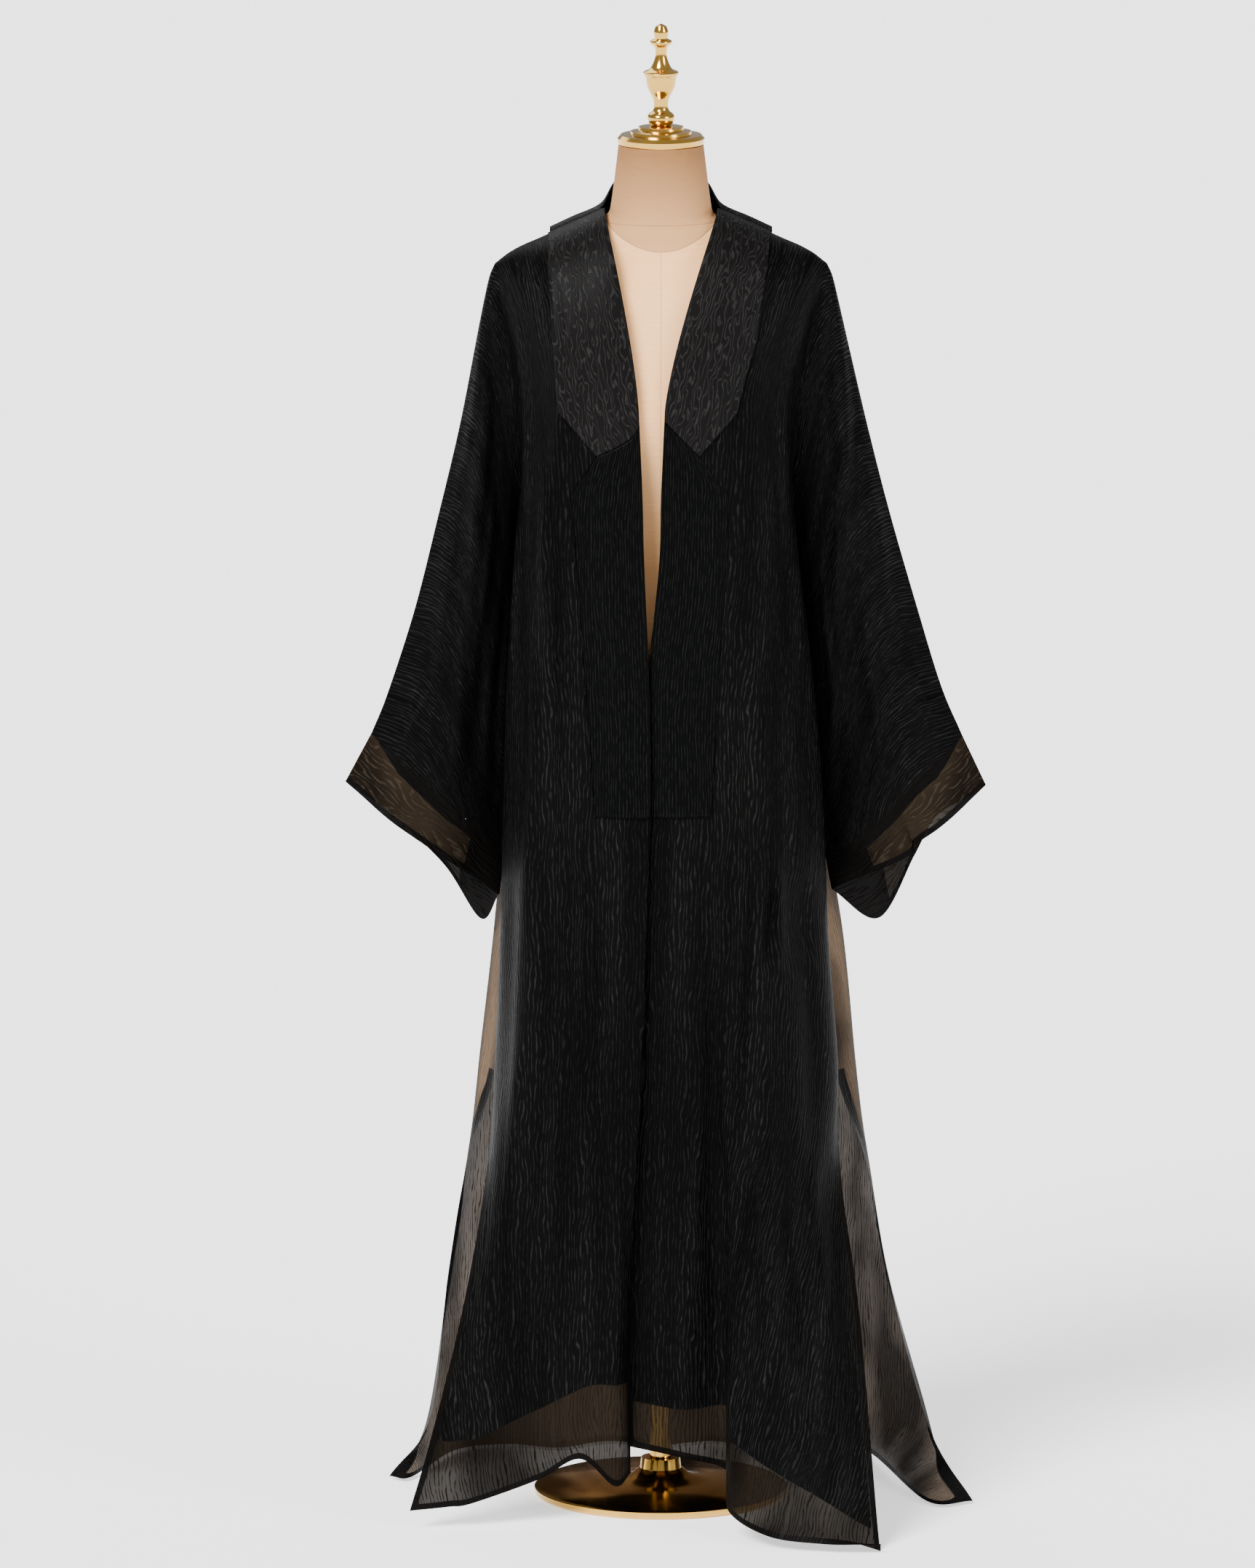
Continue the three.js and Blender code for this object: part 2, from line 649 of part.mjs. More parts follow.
// The collar behind the neck: it lies on the back along its lower edge and stands off at the neckline
function makeBackCollar(back) {
  const sheet = new Sheet(false);
  const rows = [];
  const isFall = ({ tag, i, j }) => tag === 'body' && BACK_ROWS[j] < BACK_COLLAR_ROW
    && Math.abs(i + 0.5 - BACK_MIDDLE) < BACK_COLLAR_COLUMNS;
  back.cells.filter(isFall).forEach(({ corners, i, j }) => {
    const column = i - BACK_MIDDLE + BACK_COLLAR_COLUMNS;
    rows[j] = rows[j] ?? [];
    rows[j + 1] = rows[j + 1] ?? [];
    [rows[j][column], rows[j + 1][column], rows[j + 1][column + 1], rows[j][column + 1]] = corners;
  });
  const grid = rows.map((row, j) => row.map((index) => {
    const point = back.points[index].clone().addScaledVector(back.normals[index], CLOTH + LAYER_GAP);
    const rise = COLLAR_RISE[j] * Math.min(point.y / COLLAR_RISE_DEPTH, 1);
    return sheet.addPoint(point.x, Math.max(point.y, SEAM / 2), point.z + rise);
  }));
  sheet.addCells(grid, 'collar');
  sheet.findNormals();
  return sheet;
}

// A closed body through oval rings, rounder or squarer by one exponent
function ringBody(rings) {
  const positions = [];
  const triangles = [];
  rings.forEach(({ z, half, front, back }) => {
    for (let k = 0; k < FORM_SIDES; k += 1) {
      const angle = (2 * Math.PI * k) / FORM_SIDES;
      const [c, s] = [Math.cos(angle), Math.sin(angle)];
      const power = 2 / FORM_ROUNDNESS;
      positions.push(half * Math.sign(c) * Math.abs(c) ** power);
      positions.push((s < 0 ? front : back) * Math.sign(s) * Math.abs(s) ** power, z);
    }
  });
  for (let j = 0; j + 1 < rings.length; j += 1) {
    for (let k = 0; k < FORM_SIDES; k += 1) {
      const next = (k + 1) % FORM_SIDES;
      const [a, b] = [j * FORM_SIDES + k, j * FORM_SIDES + next];
      triangles.push(a, b, b + FORM_SIDES, a, b + FORM_SIDES, a + FORM_SIDES);
    }
  }
  [[0, rings[0]], [rings.length - 1, rings[rings.length - 1]]].forEach(([j, { z }]) => {
    const centre = positions.length / 3;
    positions.push(0, 0, z);
    for (let k = 0; k < FORM_SIDES; k += 1) {
      const [a, b] = [j * FORM_SIDES + k, j * FORM_SIDES + ((k + 1) % FORM_SIDES)];
      triangles.push(...(j === 0 ? [centre, b, a] : [centre, a, b]));
    }
  });
  return indexedGeometry(positions, triangles);
}

// A turned piece from its profile, standing along Z
function turned(profile) {
  const outline = profile.map(([radius, z]) => new THREE.Vector2(radius, z));
  return new THREE.LatheGeometry(outline, TURNED_SIDES).rotateX(Math.PI / 2);
}

function addFront(name, sheet) {
  const isBody = ({ tag }) => tag === 'body';
  const isCollarZone = (cell) => isBody(cell) && cell.i < COLLAR_COLUMNS;
  const liningColumns = COLLAR_COLUMNS + FRONT_COLUMNS[0] + FRONT_COLUMNS[1];
  const startRow = ({ j }) => FRONT_ROWS[j];
  const lining = (cell) => isBody(cell) && cell.i < liningColumns && startRow(cell) < LINING_HEM_ROW;
  const collar = (cell) => isCollarZone(cell) && startRow(cell) < NOTCH_ROW;
  const isBandRow = (cell) => startRow(cell) >= BAND_START_ROW && startRow(cell) < BAND_END_ROW;
  const band = (cell) => isCollarZone(cell) && isBandRow(cell);
  const onTop = CLOTH + LAYER_GAP;
  addMesh(`front_${name}`, sheet.wall(() => true, 0, CLOTH), materials.organza);
  addMesh(`lining_front_${name}`, sheet.wall(lining, -LAYER_GAP - LINING, -LAYER_GAP), materials.lining);
  addMesh(`collar_${name}`, sheet.wall(collar, onTop, onTop + FACING), materials.facing);
  addMesh(`band_${name}`, sheet.wall(band, onTop, onTop + FACING), materials.facing);
}

const leftFront = makeFront(1, LEFT_TOP, LEFT_FRONT, LEFT_COLLAR, LEFT_SLEEVE);
const rightFront = makeFront(-1, RIGHT_TOP, RIGHT_FRONT, RIGHT_COLLAR, RIGHT_SLEEVE);
addFront('left', leftFront);
addFront('right', rightFront);

const back = makeBack();
const isBackLining = ({ tag, i, j }) => tag === 'body' && BACK_ROWS[j] < BACK_LINING_ROW
  && Math.abs(i + 0.5 - BACK_MIDDLE) < BACK_COLLAR_COLUMNS + BACK_COLUMNS;
addMesh('back', back.wall(() => true, 0, CLOTH), materials.organza);
addMesh('lining_back', back.wall(isBackLining, -LAYER_GAP - LINING, -LAYER_GAP), materials.lining);
addMesh('collar_back', makeBackCollar(back).wall(() => true, 0, FACING), materials.facing);

addMesh('cuff_left', makeCuff(1, LEFT_SLEEVE).wall(() => true, 0, CLOTH), materials.sheer);
addMesh('cuff_right', makeCuff(-1, RIGHT_SLEEVE).wall(() => true, 0, CLOTH), materials.sheer);

addMesh('form_torso', ringBody(TORSO), materials.linen);
addMesh('form_neck', ringBody(NECK), materials.linen);
addMesh('neck_cap', turned(CAP), materials.gold);
addMesh('finial', turned(FINIAL), materials.gold);
addMesh('pole', turned(POLE), materials.gold);
addMesh('stand_base', turned(BASE), materials.gold);

export default abaya;
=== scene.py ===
# %% [markdown]
# # An open-front abaya on a dress form
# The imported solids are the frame. They give the size and the place of every piece, so the script loads
# them first and then makes a finer piece for each. Lengths in the tables are in millimetres, as a
# maker writes them, and become metres where a mesh is made.

# %% Load the frame
import math
import bpy
import numpy as np
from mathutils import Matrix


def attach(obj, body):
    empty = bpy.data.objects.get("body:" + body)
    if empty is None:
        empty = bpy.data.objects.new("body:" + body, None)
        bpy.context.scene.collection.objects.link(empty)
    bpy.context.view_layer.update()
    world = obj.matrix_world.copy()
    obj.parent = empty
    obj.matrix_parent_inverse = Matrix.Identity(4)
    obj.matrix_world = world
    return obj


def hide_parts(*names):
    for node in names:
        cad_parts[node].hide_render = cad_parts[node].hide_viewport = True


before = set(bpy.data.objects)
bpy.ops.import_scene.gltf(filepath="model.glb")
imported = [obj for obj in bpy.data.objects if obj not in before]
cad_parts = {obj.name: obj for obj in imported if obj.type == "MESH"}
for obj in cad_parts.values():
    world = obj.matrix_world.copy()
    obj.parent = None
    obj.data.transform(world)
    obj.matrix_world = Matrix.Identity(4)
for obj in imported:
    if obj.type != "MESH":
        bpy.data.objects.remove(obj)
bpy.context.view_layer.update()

MM = 0.001

# %% [markdown]
# ## The camera
# The photograph was taken from a little above the waist, straight on, with a long lens: the round base
# shows as a shallow oval. A far camera with a long lens gives the same flat perspective.

# %% Set the camera
CAMERA_DISTANCE = 20.0
CAMERA_RISE = math.radians(10.5)
LOOK_AT = (-0.038, 0.0, 0.828)
SENSOR = 36.0
LENS = 402.3

camera_data = bpy.data.cameras.new("camera")
camera_data.sensor_fit = "VERTICAL"
camera_data.sensor_height = SENSOR
camera_data.lens = LENS
camera_data.clip_end = 200
camera = bpy.data.objects.new("camera", camera_data)
camera.location = (
    LOOK_AT[0],
    LOOK_AT[1] - CAMERA_DISTANCE * math.cos(CAMERA_RISE),
    LOOK_AT[2] + CAMERA_DISTANCE * math.sin(CAMERA_RISE),
)
camera.rotation_euler = (math.pi / 2 - CAMERA_RISE, 0, 0)
bpy.context.scene.collection.objects.link(camera)
bpy.context.scene.camera = camera
print("camera", [round(v, 2) for v in camera.location])

# %% [markdown]
# ## The sizes of the abaya
# A front is written as a table of sections. Each section has a height and eight stations, from the
# opening's edge to the side, as how far out and how far forward the cloth lies. Rows are numbered down
# the cloth: 0 is the shoulder, 4 the bust, 6 the armpit, 10 the top of the side slit, 13 the lining's
# hem and 14 the cloth's hem. The same tables made the solids, so the cloth sits where they are. Only
# the left front's edge differs: below the waist it passes a few millimetres behind the right one.

# %% Write the fronts' tables
BUST_Z, BLADE_Z = 1275, 1300
SHOULDER_FULLNESS, EDGE_SWEEP = 0.85, 1.35
SEAM = 0.3
CLOTH, LINING, FACING, LAYER_GAP = 1.2, 1.0, 1.6, 0.45
BUST_ROW, ARMPIT_ROW, NOTCH_ROW, BAND_START_ROW, BAND_END_ROW = 4, 6, 4.5, 4.512, 8
SLIT_ROW, HEM_ROW, LINING_HEM_ROW, BACK_LINING_ROW = 10, 14, 13, 12.3
FRONT_SHEER_ROW, BACK_SHEER_ROW = SLIT_ROW - 0.6, SLIT_ROW - 2  # above these no cloth is past its lining

SHOULDER = [(40, 1494), (65, 1490), (96, 1476), (127, 1462), (160, 1447.5), (180, 1438), (188, 1429)]
RIGHT_TOP = [63, 69, 88, 112, 130, 150, 170, 188]
RIGHT_FRONT = [
    (1275, [(26, 117), (33, 119), (60, 119), (98, 110), (116, 108), (134, 86), (150, 60), (166, 22)]),
    (1181, [(22, 118), (29, 120), (56, 121), (96, 112), (124, 111), (142, 86), (158, 58), (157, 13)]),
    (1103, [(20, 117), (27, 119), (54, 121), (90, 113), (131, 114), (150, 86), (166, 52), (152, 0)]),
    (950, [(14, 116), (20, 118), (46, 120), (81, 112), (139, 116), (158, 86), (175, 50), (158, 0)]),
    (811, [(13, 119), (19, 121), (44, 122), (76, 114), (147, 118), (165, 86), (179, 50), (166, 0)]),
    (650, [(17, 121), (21, 126), (50, 127), (88, 117), (151, 119), (169, 88), (183, 52), (176, 0)]),
    (500, [(22, 126), (27, 134), (62, 134), (104, 124), (156, 124), (176, 92), (189, 54), (188, 0)]),
    (380, [(29, 131), (34, 145), (72, 142), (118, 134), (168, 132), (184, 116), (193, 100), (200, 82)]),
    (240, [(33, 139), (43, 158), (82, 154), (130, 148), (184, 150), (202, 144), (214, 137), (226, 127)]),
    ([162, 162, 160, 135, 103, 98, 96, 100],
     [(35, 144), (48, 166), (84, 161), (134, 158), (205, 168), (228, 166), (246, 165), (262, 164)]),
    ([56, 46, 75, 52, 28, 25, 23, 21],
     [(35, 150), (53, 172), (92, 160), (140, 166), (215, 182), (240, 186), (262, 188), (286, 190)]),
]
LEFT_TOP = [63, 77, 94, 112, 130, 150, 170, 188]
LEFT_FRONT = [
    (1275, [(4, 118), (33, 119), (61, 117), (80, 113), (102, 107), (122, 86), (141, 62), (158, 22)]),
    (1181, [(0, 119), (31, 120), (60, 118), (80, 114), (104, 112), (127, 88), (147, 60), (148, 13)]),
    (1103, [(-2, 117), (28, 120), (57, 117), (80, 114), (106, 115), (132, 88), (155, 56), (146, 0)]),
    (950, [(-15, 110), (22, 119), (52, 115), (78, 113), (110, 118), (143, 90), (173, 54), (158, 0)]),
    (811, [(-15, 112), (20, 122), (50, 117), (78, 116), (114, 121), (151, 92), (184, 54), (170, 0)]),
    (650, [(-20, 115), (20, 127), (54, 122), (79, 122), (118, 129), (158, 98), (190, 56), (184, 0)]),
    (500, [(-25, 120), (21, 133), (60, 129), (80, 136), (124, 146), (166, 112), (200, 62), (198, 0)]),
    (380, [(-32, 125), (22, 139), (70, 136), (80, 160), (128, 177), (168, 146), (192, 108), (206, 86)]),
    (240, [(-36, 132), (24, 145), (74, 143), (79, 190), (130, 220), (174, 208), (206, 184), (226, 165)]),
    ([139, 130, 134, 112, 86, 56, 30, 18],
     [(-38, 137), (25, 149), (76, 148), (77, 214), (122, 258), (182, 284), (224, 286), (246, 284)]),
    ([86, 74, 60, 31, 14, 10, 10, 10],
     [(-38, 141), (26, 152), (77, 160), (77, 234), (122, 290), (182, 311), (222, 316), (249, 314)]),
]
RIGHT_COLLAR = [(0, 127), (1.4, 127), (2.8, 122), (4, 115), (4.5, 73), (5, 102), (6, 96), (7, 85), (8, 75)]
LEFT_COLLAR = [(0, 123), (1.4, 120), (2.8, 108), (4, 85), (4.5, 43), (5, 76), (6, 72), (7, 64), (8, 57)]
FRONT_LINING_SHARE = [(0, 0.975), (10, 0.975), (11, 0.955), (14, 0.94)]
GORGE_RISE = [(3.4, 0), (4, 0.25), (4.5, 0.42), (5, 0.25), (6, 0)]
print("sections a front:", len(RIGHT_FRONT), len(LEFT_FRONT))

# %% [markdown]
# The back has no opening, so its sections run from the middle to each side. A sleeve is given by lines
# instead: the fold on top, the seam underneath, and the edges of sleeve and cuff in front and behind.
# A sleeve could be sections too, but it hangs at a slant, and lines follow that more easily.

# %% Write the back's and the sleeves' tables
BACK_TOP = [(0, 70), (46, 54), (68, 0), (100, 0), (135, 0), (165, 0), (188, 0)]
# Height, the five stations that both sides share, then the last two of the right and of the left side
BACK = [
    (1300, [(0, 98), (35, 98), (62, 97), (92, 92), (122, 80)],
     [(150, 58), (168, 22)], [(150, 58), (162, 22)]),
    (1181, [(0, 96), (36, 100), (64, 95), (94, 96), (124, 84)],
     [(156, 56), (157, 14)], [(152, 56), (148, 14)]),
    (1103, [(0, 97), (36, 102), (66, 96), (96, 99), (128, 88)],
     [(160, 54), (152, 0)], [(156, 54), (146, 0)]),
    (950, [(0, 103), (37, 110), (68, 102), (100, 106), (134, 92)],
     [(168, 54), (158, 0)], [(168, 54), (158, 0)]),
    (811, [(0, 110), (38, 119), (71, 108), (105, 114), (140, 98)],
     [(176, 56), (166, 0)], [(180, 56), (170, 0)]),
    (650, [(0, 118), (40, 130), (75, 116), (112, 124), (150, 106)],
     [(190, 54), (176, 0)], [(207, 54), (184, 0)]),
    (500, [(0, 130), (43, 145), (82, 128), (122, 138), (163, 120)],
     [(207, 52), (188, 0)], [(222, 50), (198, 0)]),
    (380, [(0, 146), (47, 164), (90, 144), (134, 155), (180, 138)],
     [(218, 84), (221, 45)], [(234, 74), (236, 28)]),
    (240, [(0, 172), (52, 194), (100, 168), (150, 182), (200, 160)],
     [(238, 112), (244, 72)], [(256, 92), (262, 45)]),
    (70, [(0, 206), (58, 231), (112, 199), (170, 216), (226, 187)],
     [(264, 128), (265, 80)], [(302, 70), (309, 20)]),
    (4, [(0, 222), (60, 248), (118, 214), (178, 232), (238, 200)],
     [(286, 62), (313, 66)], [(304, -62), (358, -62)]),
]
BACK_LINING_SHARE = [(0, 0.985), (8, 0.97), (9, 0.8), (10, 0.67), (14, 0.66)]
BACK_COLLAR_ROW, BACK_COLLAR_OUT = 2.1, 125
COLLAR_RISE = [(0, 22), (0.7, 6), (1.4, 0), (2.1, 0)]
COLLAR_RISE_DEPTH = 45

RIGHT_SLEEVE = {
    "fold": [(188, 0, 1429), (194, 0, 1415), (200, 0, 1389), (207.5, 0, 1351), (228, 0, 1244),
             (253, 0, 1138), (280, 0, 1030), (311, 0, 933), (329, 0, 888)],
    "under": [(152, 0, 1103), (160, 0, 1076), (165, 0, 990), (170, 0, 880), (180, 0, 748)],
    "front": [(329, 0, 888), (300, 26, 866), (270, 38, 838), (240, 36, 808), (210, 22, 782),
              (180, 0, 748)],
    "back": [(329, 0, 888), (300, -24, 862), (268, -36, 828), (236, -36, 794), (206, -24, 766),
             (180, 0, 748)],
    "hem_front": [(360, 0, 831), (334, 24, 812), (302, 38, 788), (270, 38, 764), (245, 22, 745),
                  (184, 0, 700)],
    "hem_back": [(360, 0, 831), (330, -24, 806), (292, -36, 772), (248, -36, 728), (206, -22, 668),
                 (184, 0, 702)],
}
LEFT_SLEEVE = {
    "fold": [(188, 0, 1429), (194.5, 0, 1414), (201, 0, 1387), (214, 0, 1330), (235, 0, 1240),
             (260, 0, 1142), (291, 0, 1034), (319, 0, 942), (343, 0, 885)],
    "under": [(146, 0, 1103), (155, 0, 1076), (162, 0, 990), (171, 0, 880), (188, 0, 748)],
    "front": [(343, 0, 885), (316, 28, 861), (288, 42, 838), (258, 40, 802), (224, 24, 768),
              (188, 0, 748)],
    "back": [(343, 0, 885), (316, -26, 854), (284, -38, 824), (250, -38, 784), (218, -24, 760),
             (188, 0, 748)],
    "hem_front": [(371, 0, 827), (346, 26, 807), (316, 40, 784), (290, 40, 764), (282, 24, 748),
                  (195, 0, 706)],
    "hem_back": [(371, 0, 827), (346, -26, 806), (314, -38, 781), (290, -38, 738), (250, -22, 668),
                 (195, 0, 706)],
}
SLEEVE_RIDGE_DEPTH, SLEEVE_RIDGE_ACROSS, SLEEVE_RIDGE_WIDTH = 20, 0.42, 0.17
print("sections of the back:", len(BACK))

# %% [markdown]
# ## The creases
# The sections carry the big folds. The creases between them are placed one by one, as on the real
# cloth: each runs from one point to another, seen from the front, and has a depth and a width. A
# positive depth is a ridge and a negative one a trough. They are uneven on purpose, and the back, which
# the photograph hides, gets similar ones.

# %% Write the creases
# from out, from height, to out, to height, depth, width
RIGHT_FRONT_CREASES = [
    (168, 1400, 148, 1150, 5, 7), (152, 1395, 132, 1180, -4, 9), (142, 1300, 126, 1000, 3.5, 6),
    (160, 1220, 160, 830, -4, 7), (128, 1180, 118, 640, 3.5, 8), (112, 1150, 108, 420, -4, 9),
    (146, 1050, 152, 560, 4, 7), (98, 1040, 92, 480, 3, 7), (84, 800, 74, 300, -3.5, 9),
    (136, 700, 142, 260, -4, 10), (60, 700, 50, 150, 3, 10), (166, 620, 196, 200, 3, 10),
    (110, 470, 100, 90, 4, 13), (150, 380, 170, 60, -4, 14), (190, 330, 240, 60, 3.5, 12),
    (40, 420, 38, 90, -3, 8), (208, 220, 262, 40, -3, 9),
]
LEFT_FRONT_CREASES = [
    (168, 1405, 146, 1180, 5, 7), (150, 1400, 128, 1230, -3.5, 9), (118, 1290, 132, 1020, 4, 6),
    (136, 1190, 150, 900, -4, 7), (96, 1230, 110, 900, -3, 8), (112, 1120, 124, 760, 4.5, 7),
    (146, 1080, 162, 700, 4, 8), (84, 1000, 92, 560, -3, 8), (104, 860, 108, 430, 3.5, 8),
    (126, 800, 138, 640, 6, 5), (132, 760, 112, 620, -5, 5), (160, 760, 176, 380, -4, 10),
    (42, 760, 40, 300, 3, 10), (56, 620, 58, 180, -3.5, 10), (20, 500, 22, 120, 3, 9),
    (110, 420, 132, 120, 5, 12), (140, 480, 176, 60, -6, 14), (172, 420, 214, 60, 5, 12),
    (200, 300, 236, 30, -4, 9), (94, 300, 98, 60, -4, 8),
]
RIGHT_SLEEVE_CREASES = [
    (204, 1380, 226, 1140, 4, 6), (190, 1380, 196, 1120, -5, 7), (214, 1220, 236, 1010, -4, 8),
    (192, 1200, 204, 960, 4, 6), (232, 1150, 262, 930, 3, 9), (204, 1040, 214, 830, -5, 8),
    (246, 1060, 290, 890, -3, 9), (222, 1000, 240, 830, 3.5, 8), (180, 1080, 190, 800, -4, 6),
    (262, 960, 304, 860, 2.5, 8),
]
LEFT_SLEEVE_CREASES = [
    (200, 1395, 216, 1160, 4.5, 6), (192, 1360, 196, 1150, -5, 6), (208, 1330, 232, 1060, -5, 8),
    (196, 1200, 206, 960, 4, 6), (232, 1210, 268, 960, 3.5, 9), (214, 1120, 226, 880, -5, 9),
    (186, 1110, 196, 860, 4, 5), (252, 1090, 306, 900, -3, 9), (232, 1000, 252, 820, 4, 8),
    (204, 940, 210, 800, -4, 7), (276, 980, 322, 880, 3, 8),
]
BACK_CREASES = [
    (-150, 1390, -120, 1150, 4, 9), (-110, 1360, -92, 1080, -4, 10), (-60, 1300, -52, 900, 3, 10),
    (0, 1340, 6, 960, -3, 11), (58, 1330, 50, 930, 3.5, 10), (108, 1370, 92, 1060, -4, 10),
    (148, 1390, 126, 1130, 4, 9), (-140, 1100, -150, 640, -5, 11), (-96, 980, -104, 420, 4, 11),
    (-30, 900, -26, 300, 4, 12), (36, 860, 44, 240, -5, 12), (90, 940, 98, 380, -4, 11),
    (140, 1050, 160, 560, 5, 11), (-190, 560, -236, 120, 5, 14), (-150, 480, -170, 60, -6, 14),
    (-70, 520, -78, 60, 5, 14), (18, 460, 20, 40, 5, 14), (120, 480, 134, 50, -6, 14),
    (190, 520, 250, 80, 5, 14), (70, 380, 76, 40, 5, 12), (226, 300, 290, 60, -6, 12),
    (200, 1330, 246, 1010, -4, 8), (-200, 1330, -240, 1010, -4, 8), (214, 1100, 262, 880, 4, 9),
    (-214, 1100, -256, 880, 4, 9), (196, 1010, 206, 830, -4, 7), (-190, 1010, -200, 830, -4, 7),
]
CREASE_FADE = 14  # creases fade out this near a seam, so that the pieces still meet there
LOWER_CREASES = ((1120, 1300), (1.4, 1.0))  # they deepen below the bust, where the cloth hangs free
CREASE_SWAY, CREASE_SWAY_LENGTH = 3.2, 47  # they sway this far to each side, over about this length
CREASE_START, CREASE_FLARE = 0.7, 0.6  # their width at the start, and what they gain towards the end


def creased(points, creases, forward, strength=1.0):
    """The points with every crease added, forward or back, on a grid of [out, depth, height]."""
    out, depth, height = points[..., 0], points[..., 1], points[..., 2]
    moved = np.zeros_like(depth)
    for out_a, z_a, out_b, z_b, rise, width in creases:
        line = np.array([out_b - out_a, z_b - z_a], float)
        length = np.hypot(*line)
        along = ((out - out_a) * line[0] + (height - z_a) * line[1]) / length
        beside = ((out - out_a) * line[1] - (height - z_a) * line[0]) / length
        t = np.clip(along / length, 0, 1)
        beside = beside + CREASE_SWAY * np.sin(along / CREASE_SWAY_LENGTH + out_a)
        spread = width * (CREASE_START + CREASE_FLARE * t)
        moved += rise * np.sin(np.pi * t) ** 0.8 * np.exp(-(beside / spread) ** 2)
    moved *= np.interp(height, *LOWER_CREASES)
    fade = np.clip(np.abs(depth) / CREASE_FADE, 0, 1)
    result = points.copy()
    result[..., 1] = depth + forward * strength * moved * fade * fade * (3 - 2 * fade)
    return result


print("creases:", sum(map(len, (RIGHT_FRONT_CREASES, LEFT_FRONT_CREASES, RIGHT_SLEEVE_CREASES,
                               LEFT_SLEEVE_CREASES, BACK_CREASES))))

# %% [markdown]
# ## Surfaces from the tables
# A smooth line through a table's points, used once down the cloth and once across it, gives a surface.
# Above the bust each station follows a quarter oval over the shoulder.


# %% Turn tables into surfaces
def widened(points):
    """The points with one more in front and one behind, straight on."""
    return np.concatenate([[2 * points[0] - points[1]], points, [2 * points[-1] - points[-2]]])


def curve(a, b, c, d, f):
    """The smooth line from b to c at share f, where a and d are the points before and after."""
    slope_in, slope_out, lift = (c - a) / 2, (d - b) / 2, c - b
    square = 3 * lift - 2 * slope_in - slope_out
    cube = slope_in + slope_out - 2 * lift
    return b + f * (slope_in + f * (square + f * cube))


def split(t, count):
    """Places on a line through count points as the piece's number and the share along it."""
    i = np.clip(np.floor(t).astype(int), 0, count - 2)
    return i, np.clip(t - i, 0, 1)[..., None]


def smooth(points, t):
    """Points on the smooth line through a list of points, where t counts the list's entries."""
    points = np.asarray(points, float)
    i, f = split(np.asarray(t, float), len(points))
    around = widened(points)
    return curve(*(around[i + k] for k in range(4)), f)


def table(pairs, at):
    """A value read between a table's rows."""
    return np.interp(at, [p[0] for p in pairs], [p[1] for p in pairs])


def station_path(top, column, chest_z, rows):
    """One station's path down the cloth."""
    rows = np.asarray(rows, float)
    turn = np.clip(rows / BUST_ROW, 0, 1) * (math.pi / 2)
    fall = np.cos(turn)
    chest = column[0]
    over = np.stack([
        chest[0] + (top[0] - chest[0]) * np.maximum(fall, 0) ** EDGE_SWEEP,
        top[1] + (chest[1] - top[1]) * np.sin(turn) ** SHOULDER_FULLNESS,
        chest_z + (top[2] - chest_z) * fall,
    ], axis=-1)
    below = smooth(column, np.maximum(rows - BUST_ROW, 0))
    return np.where((rows < BUST_ROW)[..., None], over, below)


def front_columns(tops, sections):
    """The top point and the column of section points of each station of a front."""
    columns = []
    for k, out in enumerate(tops):
        top = (out, 0, table(SHOULDER, out))
        column = [(*at[k], z[k] if isinstance(z, list) else z) for z, at in sections]
        columns.append((top, column, BUST_Z))
    return columns


def back_columns(side):
    """The same for one half of the back, where side 2 is the right half and 3 the left."""
    columns = []
    for k, (out, back) in enumerate(BACK_TOP):
        column = [(*[*section[1], *section[side]][k], section[0]) for section in BACK]
        columns.append(((out, back, table(SHOULDER, out)), column, BLADE_Z))
    return columns


def panel(columns, rows, shares):
    """A grid of [out, depth, height]: rows down the cloth and shares across it, one list for each row."""
    rows = np.asarray(rows, float)
    shares = np.asarray(shares, float)
    if rows.ndim == 1:
        rows = np.repeat(rows[:, None], shares.shape[1], axis=1)
    stations = np.stack([station_path(*column, rows) for column in columns], axis=0)
    i, f = split(shares * (len(columns) - 1), len(columns))
    around = widened(stations)
    j, m = np.indices(i.shape)
    return curve(*(around[i + k, j, m] for k in range(4)), f)


def share_at(columns, rows, outs):
    """The share across each row at which the panel is that far out."""
    tries = np.linspace(0, 1, 241)
    grid = panel(columns, rows, np.tile(tries, (len(rows), 1)))[..., 0]
    return np.array([np.interp(out, np.maximum.accumulate(line), tries) for out, line in zip(outs, grid)])


def spans(*parts):
    """Values in even steps from part to part: (start), then (to, count) for each."""
    values = [parts[0]]
    for to, count in parts[1:]:
        values += list(np.linspace(values[-1], to, count + 1)[1:])
    return np.array(values)


FRONT_ROWS = spans(0, (BUST_ROW, 60), (SLIT_ROW, 130), (HEM_ROW, 84))
print("rows down a front:", len(FRONT_ROWS))

# %% [markdown]
# ## Meshes from grids
# Each piece of cloth is one grid of points with four-sided faces. Its UV map is the flat cut in metres:
# across the cloth and down it. On a sleeve the map goes on outwards, so that the weave's ridges run
# beside the cuff, as they do on a sleeve cut in one with the body. Two values are kept on the points:
# how far it is to the nearest finished edge, and how far inside the lining's edge it is.


# %% Make a mesh from grids
MERGED = 0.00002  # points nearer than this, in metres, become one


def deselect():
    """Nothing selected, as operators act on all that is."""
    for thing in bpy.context.selected_objects:
        thing.select_set(False)


def open_mesh(piece):
    """Edit mode on one piece, with all of it selected."""
    deselect()
    bpy.context.view_layer.objects.active = piece
    piece.select_set(True)
    bpy.ops.object.mode_set(mode="EDIT")
    bpy.ops.mesh.select_all(action="SELECT")


